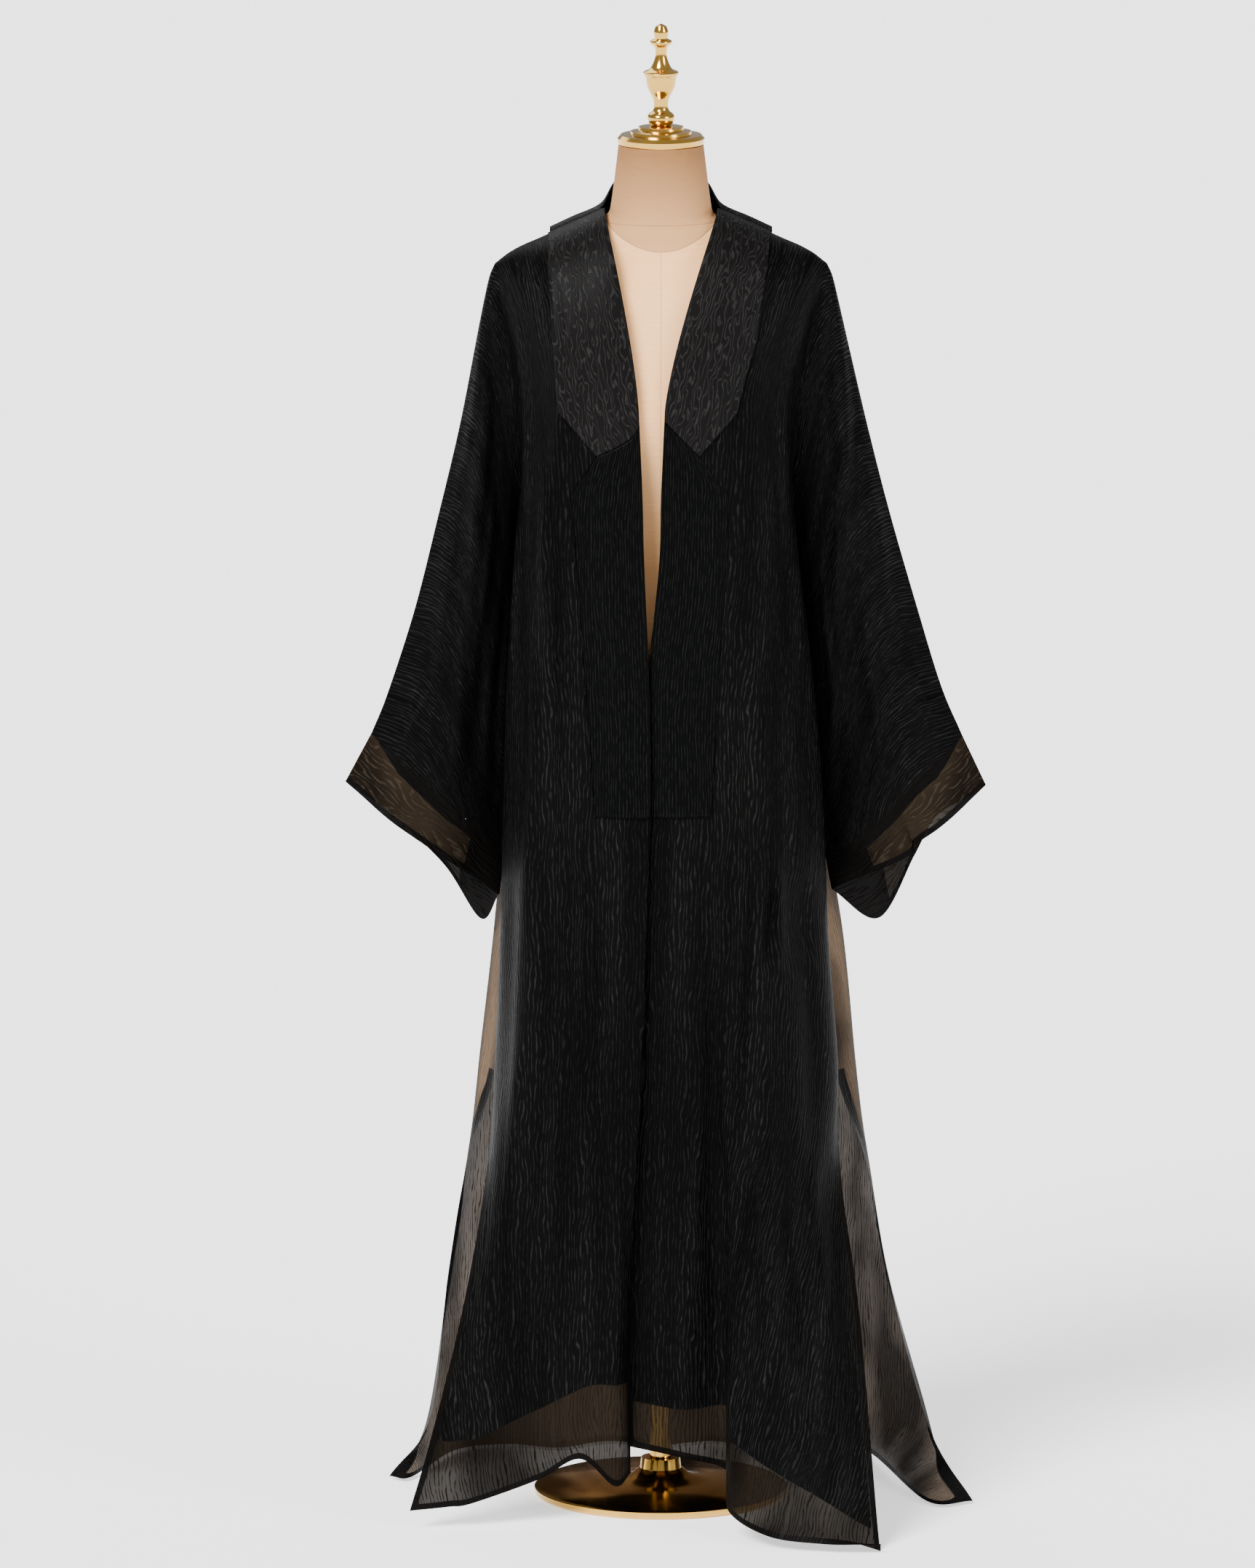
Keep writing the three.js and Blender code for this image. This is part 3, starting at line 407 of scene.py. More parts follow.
def close_mesh(sharp_from=None):
    """Back to object mode, smooth all over or but for edges sharper than so many degrees."""
    bpy.ops.object.mode_set(mode="OBJECT")
    if sharp_from is None:
        bpy.ops.object.shade_smooth()
    else:
        bpy.ops.object.shade_smooth_by_angle(angle=math.radians(sharp_from))
    deselect()


def arc(grid, axis):
    """Lengths along a grid's rows or columns, in its own unit."""
    step = np.linalg.norm(np.diff(grid, axis=axis), axis=-1)
    zero = np.zeros_like(np.take(step, [0], axis=axis))
    return np.concatenate([zero, np.cumsum(step, axis=axis)], axis=axis)


def outward(grid, flip):
    """Directions out of the cloth at a grid's points. On a seam they stay in the seam's plane."""
    down = np.gradient(grid, axis=0)
    across = np.gradient(grid, axis=1)
    normal = np.cross(down, across) * (-1 if flip else 1)
    normal[..., 1] = np.where(np.abs(grid[..., 1]) < SEAM, 0, normal[..., 1])
    return normal / np.maximum(np.linalg.norm(normal, axis=-1, keepdims=True), 1e-9)


def cloth_mesh(name, parts, flip):
    """One mesh from several grids that share points. A part is (grid, u, v, edge, lined), in mm."""
    points, faces, uvs, edges, lines = [], [], [], [], []
    start = 0
    for grid, u, v, edge, lined in parts:
        rows, columns = grid.shape[:2]
        index = start + np.arange(rows * columns).reshape(rows, columns)
        quads = np.stack([index[:-1, :-1], index[1:, :-1], index[1:, 1:], index[:-1, 1:]], axis=-1)
        faces.append(quads.reshape(-1, 4)[:, ::-1] if flip else quads.reshape(-1, 4))
        points.append(grid.reshape(-1, 3))
        uvs.append(np.stack([u, v], axis=-1).reshape(-1, 2))
        edges.append(np.asarray(edge, float).ravel())
        lines.append(np.asarray(lined, float).ravel())
        start += rows * columns
    points = np.concatenate(points) * MM
    faces = np.concatenate(faces)
    mesh = bpy.data.meshes.new(name)
    mesh.from_pydata(points.tolist(), [], faces.tolist())
    uv_layer = mesh.uv_layers.new(name="cut")
    uv_layer.data.foreach_set("uv", (np.concatenate(uvs) * MM)[faces.ravel()].ravel())
    for label, values in (("edge_gap", edges), ("lined", lines)):
        attribute = mesh.attributes.new(label, "FLOAT", "POINT")
        attribute.data.foreach_set("value", (np.concatenate(values) * MM).astype(np.float32))
    mesh.validate()
    piece = bpy.data.objects.new(name, mesh)
    bpy.context.scene.collection.objects.link(piece)
    open_mesh(piece)
    bpy.ops.mesh.remove_doubles(threshold=MERGED)
    close_mesh()
    return piece


def rim_gaps(grid):
    """Lengths across and down a grid, and how far each point is from its sides and its lower edge."""
    across, down = arc(grid, 1), arc(grid, 0)
    return across, down, np.minimum(np.minimum(across, across[:, -1:] - across), down[-1:] - down)


def area_of(piece):
    """A piece's surface in square metres."""
    return sum(face.area for face in piece.data.polygons)


def thicken(piece, thickness, offset=0.0):
    """A wall of this thickness in millimetres, with its rim."""
    wall = piece.modifiers.new("wall", "SOLIDIFY")
    wall.thickness = thickness * MM
    wall.offset = offset
    wall.use_even_offset = False
    bpy.context.view_layer.objects.active = piece
    piece.select_set(True)
    bpy.ops.object.modifier_apply(modifier="wall")
    deselect()


print("helpers for cloth are ready")

# %% [markdown]
# ## Fronts, back and sleeves
# The abaya is cut like a T: each front is one piece with the front half of its sleeve, and the back is
# one piece with both back halves. The sleeve's surface is filled in between four lines: the armhole,
# the cuff's edge, the fold on top and the seam underneath.


# %% Fill in a sleeve
def along(points, shares):
    """Points on the smooth line through a list of points, at shares of its length."""
    fine = smooth(points, np.linspace(0, len(points) - 1, 40 * len(points)))
    length = arc(fine, 0)
    return np.stack([np.interp(shares, length / length[-1], fine[:, k]) for k in range(3)], axis=-1)


def sleeve_grid(armhole, shape, cuff_edge, flat_shares, across_shares):
    """A sleeve's half as a grid: rows from the top fold to the underarm, columns from body to cuff."""
    a = np.asarray(flat_shares)[None, :, None]
    b = np.asarray(across_shares)[:, None, None]
    body, cuff = armhole[:, None, :], along(cuff_edge, np.asarray(across_shares))[:, None, :]
    fold = along(shape["fold"], np.asarray(flat_shares))[None]
    under = along(shape["under"], np.asarray(flat_shares))[None]
    at_body = (1 - b) * body[0] + b * body[-1]
    at_cuff = (1 - b) * cuff[0] + b * cuff[-1]
    flat = (1 - a) * (body - at_body) + a * (cuff - at_cuff) + (1 - b) * fold + b * under
    ridge = SLEEVE_RIDGE_DEPTH * np.sin(math.pi * np.minimum(a * 1.2, 1)) ** 2
    ridge = ridge * np.exp(-((b - SLEEVE_RIDGE_ACROSS) / SLEEVE_RIDGE_WIDTH) ** 2)
    flat[..., 1] += ridge[..., 0]
    return flat


SLEEVE_SHARES = np.linspace(0, 1, 121)
ARM_CREASES_FROM = 0.08  # the creases of a sleeve grow in over this share of it, from none at the armhole
ARM_CREASE_START = np.clip(SLEEVE_SHARES / ARM_CREASES_FROM, 0, 1)[None]
FRONT_ACROSS = 84
FAR = 400.0  # stands for no edge near
TURNING, SLIT_FACING = 7.5, 19  # widths of the dark doubled strips along the edges and the back's slits


def finish_grid(grid, side, direction, lift):
    """The grid placed on its side of the body and moved out of its own surface by lift."""
    placed = grid.copy()
    placed[..., 0] *= side
    placed[..., 1] *= direction
    edge = SEAM / 2
    keep = direction * placed[..., 1]
    placed[..., 1] = np.where(keep < edge, direction * edge, placed[..., 1])
    return placed + outward(placed, (side > 0) == (direction > 0)) * lift


# %% [markdown]
# A front's edges are the opening, the hem and, below the slit's top, the side. The lining ends a little
# inside the opening and the side and well above the hem, and past it the cloth is sheer.


# %% Make a front
def front_grids(side, tops, sections, creases, sleeve, sleeve_creases, lift):
    """The grids of a front and its half sleeve."""
    columns = front_columns(tops, sections)
    shares = np.tile(np.linspace(0, 1, FRONT_ACROSS), (len(FRONT_ROWS), 1))
    body = creased(panel(columns, FRONT_ROWS, shares), creases, 1)
    across, down = arc(body, 1), arc(body, 0)
    width = across[:, -1:]
    slit = np.where(FRONT_ROWS[:, None] > SLIT_ROW, width - across, FAR)
    edge = np.minimum(np.minimum(across, down[-1:] - down), slit)
    lined = (table(FRONT_LINING_SHARE, FRONT_ROWS)[:, None] - shares) * width
    lining_hem = int(np.searchsorted(FRONT_ROWS, LINING_HEM_ROW))
    lined = np.minimum(lined, down[lining_hem:lining_hem + 1] - down)
    lined = np.where(FRONT_ROWS[:, None] < FRONT_SHEER_ROW, FAR, lined)
    upper = FRONT_ROWS <= ARMPIT_ROW
    arm = sleeve_grid(body[upper][:, -1], sleeve, sleeve["front"], SLEEVE_SHARES,
                      FRONT_ROWS[upper] / ARMPIT_ROW)
    arm = creased(arm, sleeve_creases, 1, ARM_CREASE_START)
    u = width[upper] + arc(arm, 1)
    v = np.broadcast_to(down[upper][:, -1:], u.shape)
    far = np.full(u.shape, FAR)
    body = finish_grid(body, side, -1, lift)
    arm = finish_grid(arm, side, -1, lift)
    arm[:, 0] = body[upper][:, -1]
    return [(body, across, down, edge, lined), (arm, u, v, far, far)]


FRONTS = {
    "right": (-1, RIGHT_TOP, RIGHT_FRONT, RIGHT_FRONT_CREASES, RIGHT_SLEEVE, RIGHT_SLEEVE_CREASES),
    "left": (1, LEFT_TOP, LEFT_FRONT, LEFT_FRONT_CREASES, LEFT_SLEEVE, LEFT_SLEEVE_CREASES),
}
cloth = {}
front_parts = {}
for name, shape in FRONTS.items():
    front_parts[name] = front_grids(*shape, lift=CLOTH / 2)
    cloth[f"front_{name}"] = cloth_mesh(f"cloth_front_{name}", front_parts[name], flip=name == "right")
    print(f"front {name}: {area_of(cloth[f'front_{name}']):.3f} m2")

# %% [markdown]
# The back has a middle and two halves that differ: the left half swings out further at the hem. It
# hangs free below the slits, where its corners come forward onto the floor.

# %% Make the back
BACK_ROWS = spans(0, (BUST_ROW, 56), (SLIT_ROW, 120), (HEM_ROW, 88))
BACK_ACROSS = 80
SWUNG_ROWS = 9.8, 11.6  # between these the slit's edges swing out and become the outermost cloth
SEEN_FACING, WIDEST_FACING = 6.5, 42  # the slit facing's width in the front view, and at most on the cloth


def back_grids(lift):
    """The grids of the back's body, from the wearer's left to the right, and of both half sleeves."""
    halves = {}
    shares = np.tile(np.linspace(0, 1, BACK_ACROSS), (len(BACK_ROWS), 1))
    for name, index, side in (("left", 3, 1), ("right", 2, -1)):
        grid = panel(back_columns(index), BACK_ROWS, shares)
        grid[..., 0] *= side
        halves[name] = grid
    body = np.concatenate([halves["left"][:, ::-1], halves["right"][:, 1:]], axis=1)
    body = creased(body, BACK_CREASES, 1)
    across = arc(body, 1) - arc(body, 1)[:, BACK_ACROSS - 1:BACK_ACROSS]
    down = arc(body, 0)
    far_left, far_right = -across[:, :1], across[:, -1:]
    slit = np.minimum(across + far_left, far_right - across) * TURNING / SLIT_FACING
    side_on = np.minimum(np.abs(body[..., 0] - body[:, :1, 0]), np.abs(body[..., 0] - body[:, -1:, 0]))
    side_on = np.maximum(side_on * TURNING / SEEN_FACING, slit * SLIT_FACING / WIDEST_FACING)
    swung = np.interp(BACK_ROWS, SWUNG_ROWS, (0, 1))[:, None]
    slit = slit + swung * (np.minimum(slit, side_on) - slit)
    edge = np.minimum(down[-1:] - down, np.where(BACK_ROWS[:, None] > SLIT_ROW, slit, FAR))
    share = table(BACK_LINING_SHARE, BACK_ROWS)[:, None]
    lined = np.where(across < 0, share * far_left + across, share * far_right - across)
    lining_hem = int(np.searchsorted(BACK_ROWS, BACK_LINING_ROW))
    lined = np.minimum(lined, down[lining_hem:lining_hem + 1] - down)
    lined = np.where(BACK_ROWS[:, None] < BACK_SHEER_ROW, FAR, lined)
    parts = []
    upper = BACK_ROWS <= ARMPIT_ROW
    for name, side, shape, column in (("left", 1, LEFT_SLEEVE, 0), ("right", -1, RIGHT_SLEEVE, -1)):
        armhole = body[upper][:, column] * (side, 1, 1)
        mirrored = {**shape, "back": [(out, -forward, z) for out, forward, z in shape["back"]]}
        arm = sleeve_grid(armhole, mirrored, mirrored["back"], SLEEVE_SHARES, BACK_ROWS[upper] / ARMPIT_ROW)
        arm[..., 0] *= side
        arm = creased(arm, BACK_CREASES, 1, ARM_CREASE_START)
        u = np.abs(across[upper][:, column])[:, None] + arc(arm, 1)
        v = np.broadcast_to(down[upper][:, column][:, None], u.shape)
        far = np.full(u.shape, FAR)
        if side > 0:
            arm, u, v = arm[:, ::-1], u[:, ::-1], v[:, ::-1]
        parts.append((arm, side * u, v, far, far))
    placed = []
    for number, (grid, u, v, edge_gap, line) in enumerate([(body, across, down, edge, lined), *parts]):
        grid = grid.copy()
        free = (BACK_ROWS > SLIT_ROW)[:, None] if number == 0 else np.zeros((1, 1), bool)
        grid[..., 1] = np.where(free, grid[..., 1], np.maximum(grid[..., 1], SEAM / 2))
        normal = outward(grid, False)
        normal[..., 1] = np.where(np.abs(grid[..., 1] - SEAM / 2) < 1e-6, 0, normal[..., 1])
        normal /= np.maximum(np.linalg.norm(normal, axis=-1, keepdims=True), 1e-9)
        placed.append((grid + normal * lift, u, v, edge_gap, line))
    placed[1][0][:, -1] = placed[0][0][upper][:, 0]
    placed[2][0][:, 0] = placed[0][0][upper][:, -1]
    return placed


back_parts = back_grids(CLOTH / 2)
cloth["back"] = cloth_mesh("cloth_back", back_parts, flip=False)
print(f"back: {area_of(cloth['back']):.3f} m2, {len(cloth['back'].data.polygons)} faces")

# %% [markdown]
# ## The lining
# A plain black lining hangs inside the body of the fronts and the back, not in the sleeves. It stops
# well above the hem, which is why the hem is see-through. It is read off the cloth's own grid, moved
# inwards, so the two never cross.


# %% Make the linings
LINING_COLUMNS = 60


def make_lining(name, part, rows, hem_row, reach, flip):
    """A lining from the rows of a body grid, each from one side of its reach to the other."""
    grid, u, v = part[:3]
    last = int(np.searchsorted(rows, hem_row)) + 1
    layers = [*np.moveaxis(grid, -1, 0), u, v]
    columns = np.arange(grid.shape[1])
    picked = np.zeros((5, last, LINING_COLUMNS))
    for j in range(last):
        at = np.linspace(*reach(rows[j]), LINING_COLUMNS)
        for k, layer in enumerate(layers):
            picked[k, j] = np.interp(at, columns, layer[j])
    line = np.moveaxis(picked[:3], 0, -1)
    line = line - outward(line, flip) * (CLOTH / 2 + LAYER_GAP + LINING / 2)
    far = np.full(line.shape[:2], FAR)
    return cloth_mesh(name, [(line, picked[3], picked[4], far, far)], flip)


def front_reach(row):
    """The lining of a front, in columns of its grid, from the opening to near the side."""
    return 0.3, table(FRONT_LINING_SHARE, row) * (FRONT_ACROSS - 1)


def back_reach(row):
    """The lining of the back, to both sides of its middle column."""
    middle = BACK_ACROSS - 1
    return middle * (1 - table(BACK_LINING_SHARE, row)), middle * (1 + table(BACK_LINING_SHARE, row))


for name, (side, *_) in FRONTS.items():
    cloth[f"lining_front_{name}"] = make_lining(
        f"lining_cloth_{name}", front_parts[name][0], FRONT_ROWS, LINING_HEM_ROW, front_reach, side < 0)
cloth["lining_back"] = make_lining(
    "lining_cloth_back", back_parts[0], BACK_ROWS, BACK_LINING_ROW, back_reach, False)
print("linings:", {k: round(area_of(p), 3) for k, p in cloth.items() if k.startswith("lining")})

# %% [markdown]
# ## Collar and bands
# A wide flat collar lies on the fronts and ends in a notch. Below the notch a straight band goes on to
# the waist. Both are doubled cloth with a turned edge, so they get a real thickness and a soft rim.
# The seam between them climbs from the notch to the opening.

# %% Make the collar and the bands
FACING_THICKNESS = 1.3
FACING_LIFT = CLOTH + LAYER_GAP + FACING / 2
COLLAR_ACROSS = 36


def facing_piece(name, side, tops, sections, creases, edge_table, rows):
    """A piece that lies on a front, from the opening's edge out to its own edge."""
    columns = front_columns(tops, sections)
    ends = share_at(columns, rows, table(edge_table, rows))
    part = np.linspace(0, 1, COLLAR_ACROSS)[None, :]
    climb = table(GORGE_RISE, rows)[:, None] * (1 - part)
    grid = panel(columns, rows[:, None] - climb, part * ends[:, None])
    grid = creased(grid, creases, 0.6)
    across, down, edge = rim_gaps(grid)
    grid = finish_grid(grid, side, -1, FACING_LIFT)
    piece = cloth_mesh(name, [(grid, across, down, edge, np.full(edge.shape, FAR))], side < 0)
    thicken(piece, FACING_THICKNESS)
    return piece


COLLAR_EDGES = {"right": RIGHT_COLLAR, "left": LEFT_COLLAR}
for name, (side, tops, sections, creases, *_) in FRONTS.items():
    for kind, rows in (("collar", spans(0, (BUST_ROW, 70), (NOTCH_ROW, 12))),
                       ("band", spans(BAND_START_ROW, (5, 12), (BAND_END_ROW, 90)))):
        cloth[f"{kind}_{name}"] = facing_piece(
            f"{kind}_cloth_{name}", side, tops, sections, creases, COLLAR_EDGES[name], rows)


# %% [markdown]
# Behind the neck the collar lies on the back and stands up a little along the neckline, where its seam
# lifts it. It could be a strip that is bent round the neck. Here it is read off the back's own surface,
# so that the two can't cross, and its neck edge is raised afterwards.

# %% Make the collar behind the neck
def back_collar():
    """The collar's back part: it lies on the back and stands up a little along the neckline."""
    rows = spans(0, (BACK_COLLAR_ROW, 36))
    halves = []
    for index, side in ((3, 1), (2, -1)):
        columns = back_columns(index)
        ends = share_at(columns, rows, np.full(len(rows), BACK_COLLAR_OUT))
        grid = panel(columns, rows, np.linspace(0, 1, 44)[None, :] * ends[:, None])
        grid[..., 0] *= side
        halves.append(grid[:, ::-1] if side > 0 else grid[:, 1:])
    grid = np.concatenate(halves, axis=1)
    grid[..., 1] = np.maximum(grid[..., 1], SEAM / 2)
    across, down, edge = rim_gaps(grid)
    grid = grid + outward(grid, False) * FACING_LIFT
    grid[..., 1] = np.maximum(grid[..., 1], SEAM / 2)
    grid[..., 2] += table(COLLAR_RISE, rows)[:, None] * np.minimum(grid[..., 1] / COLLAR_RISE_DEPTH, 1)
    piece = cloth_mesh("collar_cloth_back", [(grid, across, down, edge, np.full(edge.shape, FAR))], False)
    thicken(piece, FACING_THICKNESS)
    return piece


cloth["collar_back"] = back_collar()
print("collar and bands:", [k for k in cloth if k.startswith(("collar", "band"))])

# %% [markdown]
# ## Cuffs
# Each sleeve ends in a band of single sheer cloth. It is a ring: down the sleeve's front half and up
# its back half. Next to the sleeve the seam's turning shows as a dark wedge, and towards the underarm
# the band lies doubled and dark.

# %% Make the cuffs
CUFF_SEAM = 0.15
CUFF_AROUND = 100
CUFF_DOWN = 26
CUFF_WAVE, CUFF_WAVE_TURN, CUFF_WAVE_FADE = 4, 31, 20  # depth, radians round the ring, fade at the folds
WEDGE_WIDTH, WEDGE_SHARE, BACK_TURNING = 15, 0.25, 3  # the dark wedge in front, the even turning behind
FOLDED_SHARE, FOLDED_BEHIND = 0.76, 0.66  # a cuff lies doubled from here to the underarm
FOLDED_WIDTH, FOLDED_FADE = 200, 0.06  # the doubled part takes the whole width, and starts softly


def cuff(name, side, shape, edges):
    """The sheer ring that hangs from a sleeve's own edge."""
    b = np.linspace(0, 1, CUFF_AROUND)
    tops, hems = [], []
    halves = zip((FRONT_ROWS, BACK_ROWS), edges, ("hem_front", "hem_back"), (1, -1))
    for rows, edge, hem_edge, order in halves:
        at = rows[rows <= ARMPIT_ROW] / ARMPIT_ROW
        top = np.stack([np.interp(b, at, edge[:, k]) for k in range(3)], axis=-1)
        hem = along(shape[hem_edge], b) * (side, -1, 1)
        tops.append(top[::order][order < 0:])
        hems.append(hem[::order][order < 0:])
    top, hem = np.concatenate(tops), np.concatenate(hems)
    drop = np.linspace(0, 1, CUFF_DOWN)[:, None, None]
    start = top + (hem - top) / np.linalg.norm(hem - top, axis=1, keepdims=True) * CUFF_SEAM
    grid = start[None] + (hem - start)[None] * drop
    wave = CUFF_WAVE * drop[..., 0] * np.sin(np.linspace(0, 1, len(top)) * CUFF_WAVE_TURN)[None]
    grid[..., 1] += wave * np.clip(np.abs(grid[..., 1]) / CUFF_WAVE_FADE, 0, 1)
    down, around = arc(grid, 0), arc(grid, 1)
    share = np.concatenate([b, b[::-1][1:]])
    front = np.arange(len(top)) < CUFF_AROUND
    wedge = np.where(front, WEDGE_WIDTH * np.clip(share / WEDGE_SHARE, 0.1, 1), BACK_TURNING)
    folded = (share - np.where(front, FOLDED_SHARE, FOLDED_BEHIND)) / FOLDED_FADE
    wedge = wedge + FOLDED_WIDTH * np.clip(folded, 0, 1)
    edge = np.minimum(down[-1:] - down, down - wedge[None] + TURNING)
    return cloth_mesh(name, [(grid, down, around, edge, np.full(edge.shape, -FAR))], side < 0)


cloth["cuff_right"] = cuff("cuff_cloth_right", -1, RIGHT_SLEEVE,
                           (front_parts["right"][1][0][:, -1], back_parts[2][0][:, -1]))
cloth["cuff_left"] = cuff("cuff_cloth_left", 1, LEFT_SLEEVE,
                          (front_parts["left"][1][0][:, -1], back_parts[1][0][:, 0]))
print("cuffs:", [round(area_of(cloth[k]), 3) for k in ("cuff_right", "cuff_left")])

# %% [markdown]
# ## The dress form
# The form is a padded body without limbs, covered in cream linen, with a separate cover on the neck.
# Its shape is a stack of ovals. A circle is added and extruded up ring by ring, and then each ring's
# points are pushed out to their oval.

# %% Make the form
TORSO = [
    (790, 140, 92, 90), (800, 147, 98, 96), (860, 150, 102, 98), (950, 142, 98, 92), (1040, 120, 84, 78),
    (1100, 112, 80, 72), (1180, 122, 92, 78), (1260, 138, 108, 86), (1320, 152, 103, 88),
    (1370, 168, 92, 86), (1405, 176, 82, 80.5), (1422.5, 176.3, 68, 66.6), (1435.1, 166, 60, 60.4),
    (1446.6, 150, 56, 57.2), (1458.4, 123, 54, 56), (1469.5, 94, 54, 56), (1480, 70, 53, 56),
]
NECK = [
    (1480.3, 69, 53, 56), (1487, 60, 52, 55), (1498, 57, 51, 54), (1520, 54, 50, 52), (1545, 51, 49, 50),
    (1566, 48.5, 48.5, 48.5),
]
FORM_SIDES = 96
FORM_ROUNDNESS = 2.15
FORM_INSET = 0.3  # the smooth rings stay this far inside the solid's


def oval_body(name, rings, per_step):
    """A closed body through oval rings given as height, half width, depth in front and behind."""
    levels = smooth(rings, np.linspace(0, len(rings) - 1, (len(rings) - 1) * per_step + 1))
    deselect()
    bpy.ops.mesh.primitive_circle_add(vertices=FORM_SIDES, radius=0.1, fill_type="NGON",
                                      location=(0, 0, levels[0][0] * MM))
    body = bpy.context.active_object
    body.name = name
    open_mesh(body)
    for low, high in zip(levels[:-1], levels[1:]):
        bpy.ops.mesh.extrude_region_move(
            TRANSFORM_OT_translate={"value": (0, 0, (high[0] - low[0]) * MM)})
    bpy.ops.object.mode_set(mode="OBJECT")
    deselect()
    body.select_set(True)
    bpy.ops.object.transform_apply(location=True, rotation=True, scale=True)
    power = 2 / FORM_ROUNDNESS
    heights = levels[:, 0] * MM
    for vertex in body.data.vertices:
        _, half, front, behind = levels[int(np.abs(heights - vertex.co.z).argmin())]
        angle = math.atan2(vertex.co.y, vertex.co.x)
        c, s = math.cos(angle), math.sin(angle)
        depth = front if s < 0 else behind
        vertex.co.x = (half - FORM_INSET) * MM * math.copysign(abs(c) ** power, c)
        vertex.co.y = (depth - FORM_INSET) * MM * math.copysign(abs(s) ** power, s)
    open_mesh(body)
    bpy.ops.mesh.normals_make_consistent(inside=False)
    close_mesh(50)
    return body


form = {
    "form_torso": oval_body("linen_torso", TORSO, 4),
    "form_neck": oval_body("linen_neck", NECK, 5),
}
print("form:", {k: len(p.data.polygons) for k, p in form.items()})

# %% [markdown]
# ## The cap, the finial, the pole and the base
# These are turned on a lathe from metal. In Blender that is a spin: one point is extruded along half of
# the outline, and the line is spun round the axis.

# %% Make the turned pieces
CAP = [
    (0, 1566.3), (48, 1566.3), (49.5, 1569), (49.5, 1573), (46, 1577), (35, 1578), (34.5, 1581),
    (26, 1583), (25.5, 1586), (20, 1587), (0, 1587),
]
FINIAL = [
    (0, 1587.3), (11, 1587.3), (14, 1591), (15.5, 1597), (13.5, 1601), (9, 1605), (8.2, 1613),
    (10, 1620), (15.5, 1631), (17.5, 1642), (19.5, 1646), (19.5, 1649), (13, 1652), (9, 1659),
    (6.5, 1668), (7.5, 1677), (12, 1681), (12, 1684.5), (7.5, 1687), (8.5, 1694), (6, 1701), (0, 1704),
]
POLE = [(0, 42.3), (12, 42.3), (12.5, 42.8), (12.5, 789.2), (12, 789.7), (0, 789.7)]
BASE = [
    (0, 0), (142, 0), (145, 3), (145, 8), (140, 11), (60, 16), (34, 21), (24, 30), (22, 42), (0, 42),
]
SPIN_STEPS = 96


def rounded(profile, per_step):
    """The outline with smooth curves between its points. Its first and last pieces stay straight."""
    middle = np.array(profile[1:-1], float)
    fine = smooth(middle, np.linspace(0, len(middle) - 1, (len(middle) - 1) * per_step + 1))
    return [profile[0], *map(tuple, fine), profile[-1]]


def turned(name, profile):
    """A solid of revolution about Z from its outline, from the bottom up."""
    deselect()
    bpy.ops.mesh.primitive_plane_add(size=0.001, location=(0, 0, 0))
    piece = bpy.context.active_object
    piece.name = name
    open_mesh(piece)
    bpy.ops.mesh.merge(type="CENTER")
    bpy.ops.transform.translate(value=(profile[0][0] * MM, 0, profile[0][1] * MM))
    for (radius_a, z_a), (radius_b, z_b) in zip(profile[:-1], profile[1:]):
        bpy.ops.mesh.extrude_vertices_move(
            TRANSFORM_OT_translate={"value": ((radius_b - radius_a) * MM, 0, (z_b - z_a) * MM)})
    bpy.ops.mesh.select_all(action="SELECT")
    bpy.ops.mesh.spin(steps=SPIN_STEPS, angle=2 * math.pi, center=(0, 0, 0), axis=(0, 0, 1))
    bpy.ops.mesh.select_all(action="SELECT")
    bpy.ops.mesh.remove_doubles(threshold=MERGED)
    bpy.ops.mesh.normals_make_consistent(inside=False)
    close_mesh(38)
    return piece


stand = {
    "neck_cap": turned("gold_cap", CAP),
    "finial": turned("gold_finial", rounded(FINIAL, 3)),
    "pole": turned("gold_pole", POLE),
    "stand_base": turned("gold_base", BASE),
}
print("stand:", {k: len(p.data.polygons) for k, p in stand.items()})

# %% [markdown]
# ## Finishes
# The cloth is a crinkled organza: raised lines a few millimetres apart that wander and close into
# loops, like the grain of wood. Adding soft noise to a row of even lines, before the sine that draws
# them, gives just that, and a finer noise breaks them into dashes. More than one cloth uses it, so it
# is a node group.


# %% Helpers for node trees
def add_node(tree, kind, values=(), **settings):
    """A node with its settings, and with constants on its inputs by number or name."""
    node = tree.nodes.new(kind)
    for key, value in settings.items():
        setattr(node, key, value)
    for key, value in dict(values).items():
        node.inputs[key].default_value = value
    return node


def math_node(tree, operation, a, b=None, c=None):
    """A Math node fed by sockets or numbers, and its output."""
    node = add_node(tree, "ShaderNodeMath", operation=operation)
    for index, value in enumerate((a, b, c)):
        if value is None:
            continue
        if isinstance(value, (int, float)):
            node.inputs[index].default_value = value
        else:
            tree.links.new(value, node.inputs[index])
    return node.outputs[0]


def times(tree, a, b):
    """The product of two sockets or numbers."""
    return math_node(tree, "MULTIPLY", a, b)


def plus(tree, a, b):
    """The sum of two sockets or numbers."""
    return math_node(tree, "ADD", a, b)


def largest(tree, first, *others):
    """The largest of several sockets or numbers."""
    for other in others:
        first = math_node(tree, "MAXIMUM", first, other)
    return first


def noise(tree, vector, scale, detail, dimensions="2D"):
    """A soft noise between 0 and 1."""
    node = add_node(tree, "ShaderNodeTexNoise", {"Scale": scale, "Detail": detail},
                    noise_dimensions=dimensions)
    tree.links.new(vector, node.inputs["Vector"])
    return node.outputs["Fac"]


def stretched(tree, vector, x, y, z=1.0):
    """The coordinates times a factor for each axis."""
    node = add_node(tree, "ShaderNodeVectorMath", operation="MULTIPLY")
    tree.links.new(vector, node.inputs[0])
    node.inputs[1].default_value = (x, y, z)
    return node.outputs[0]


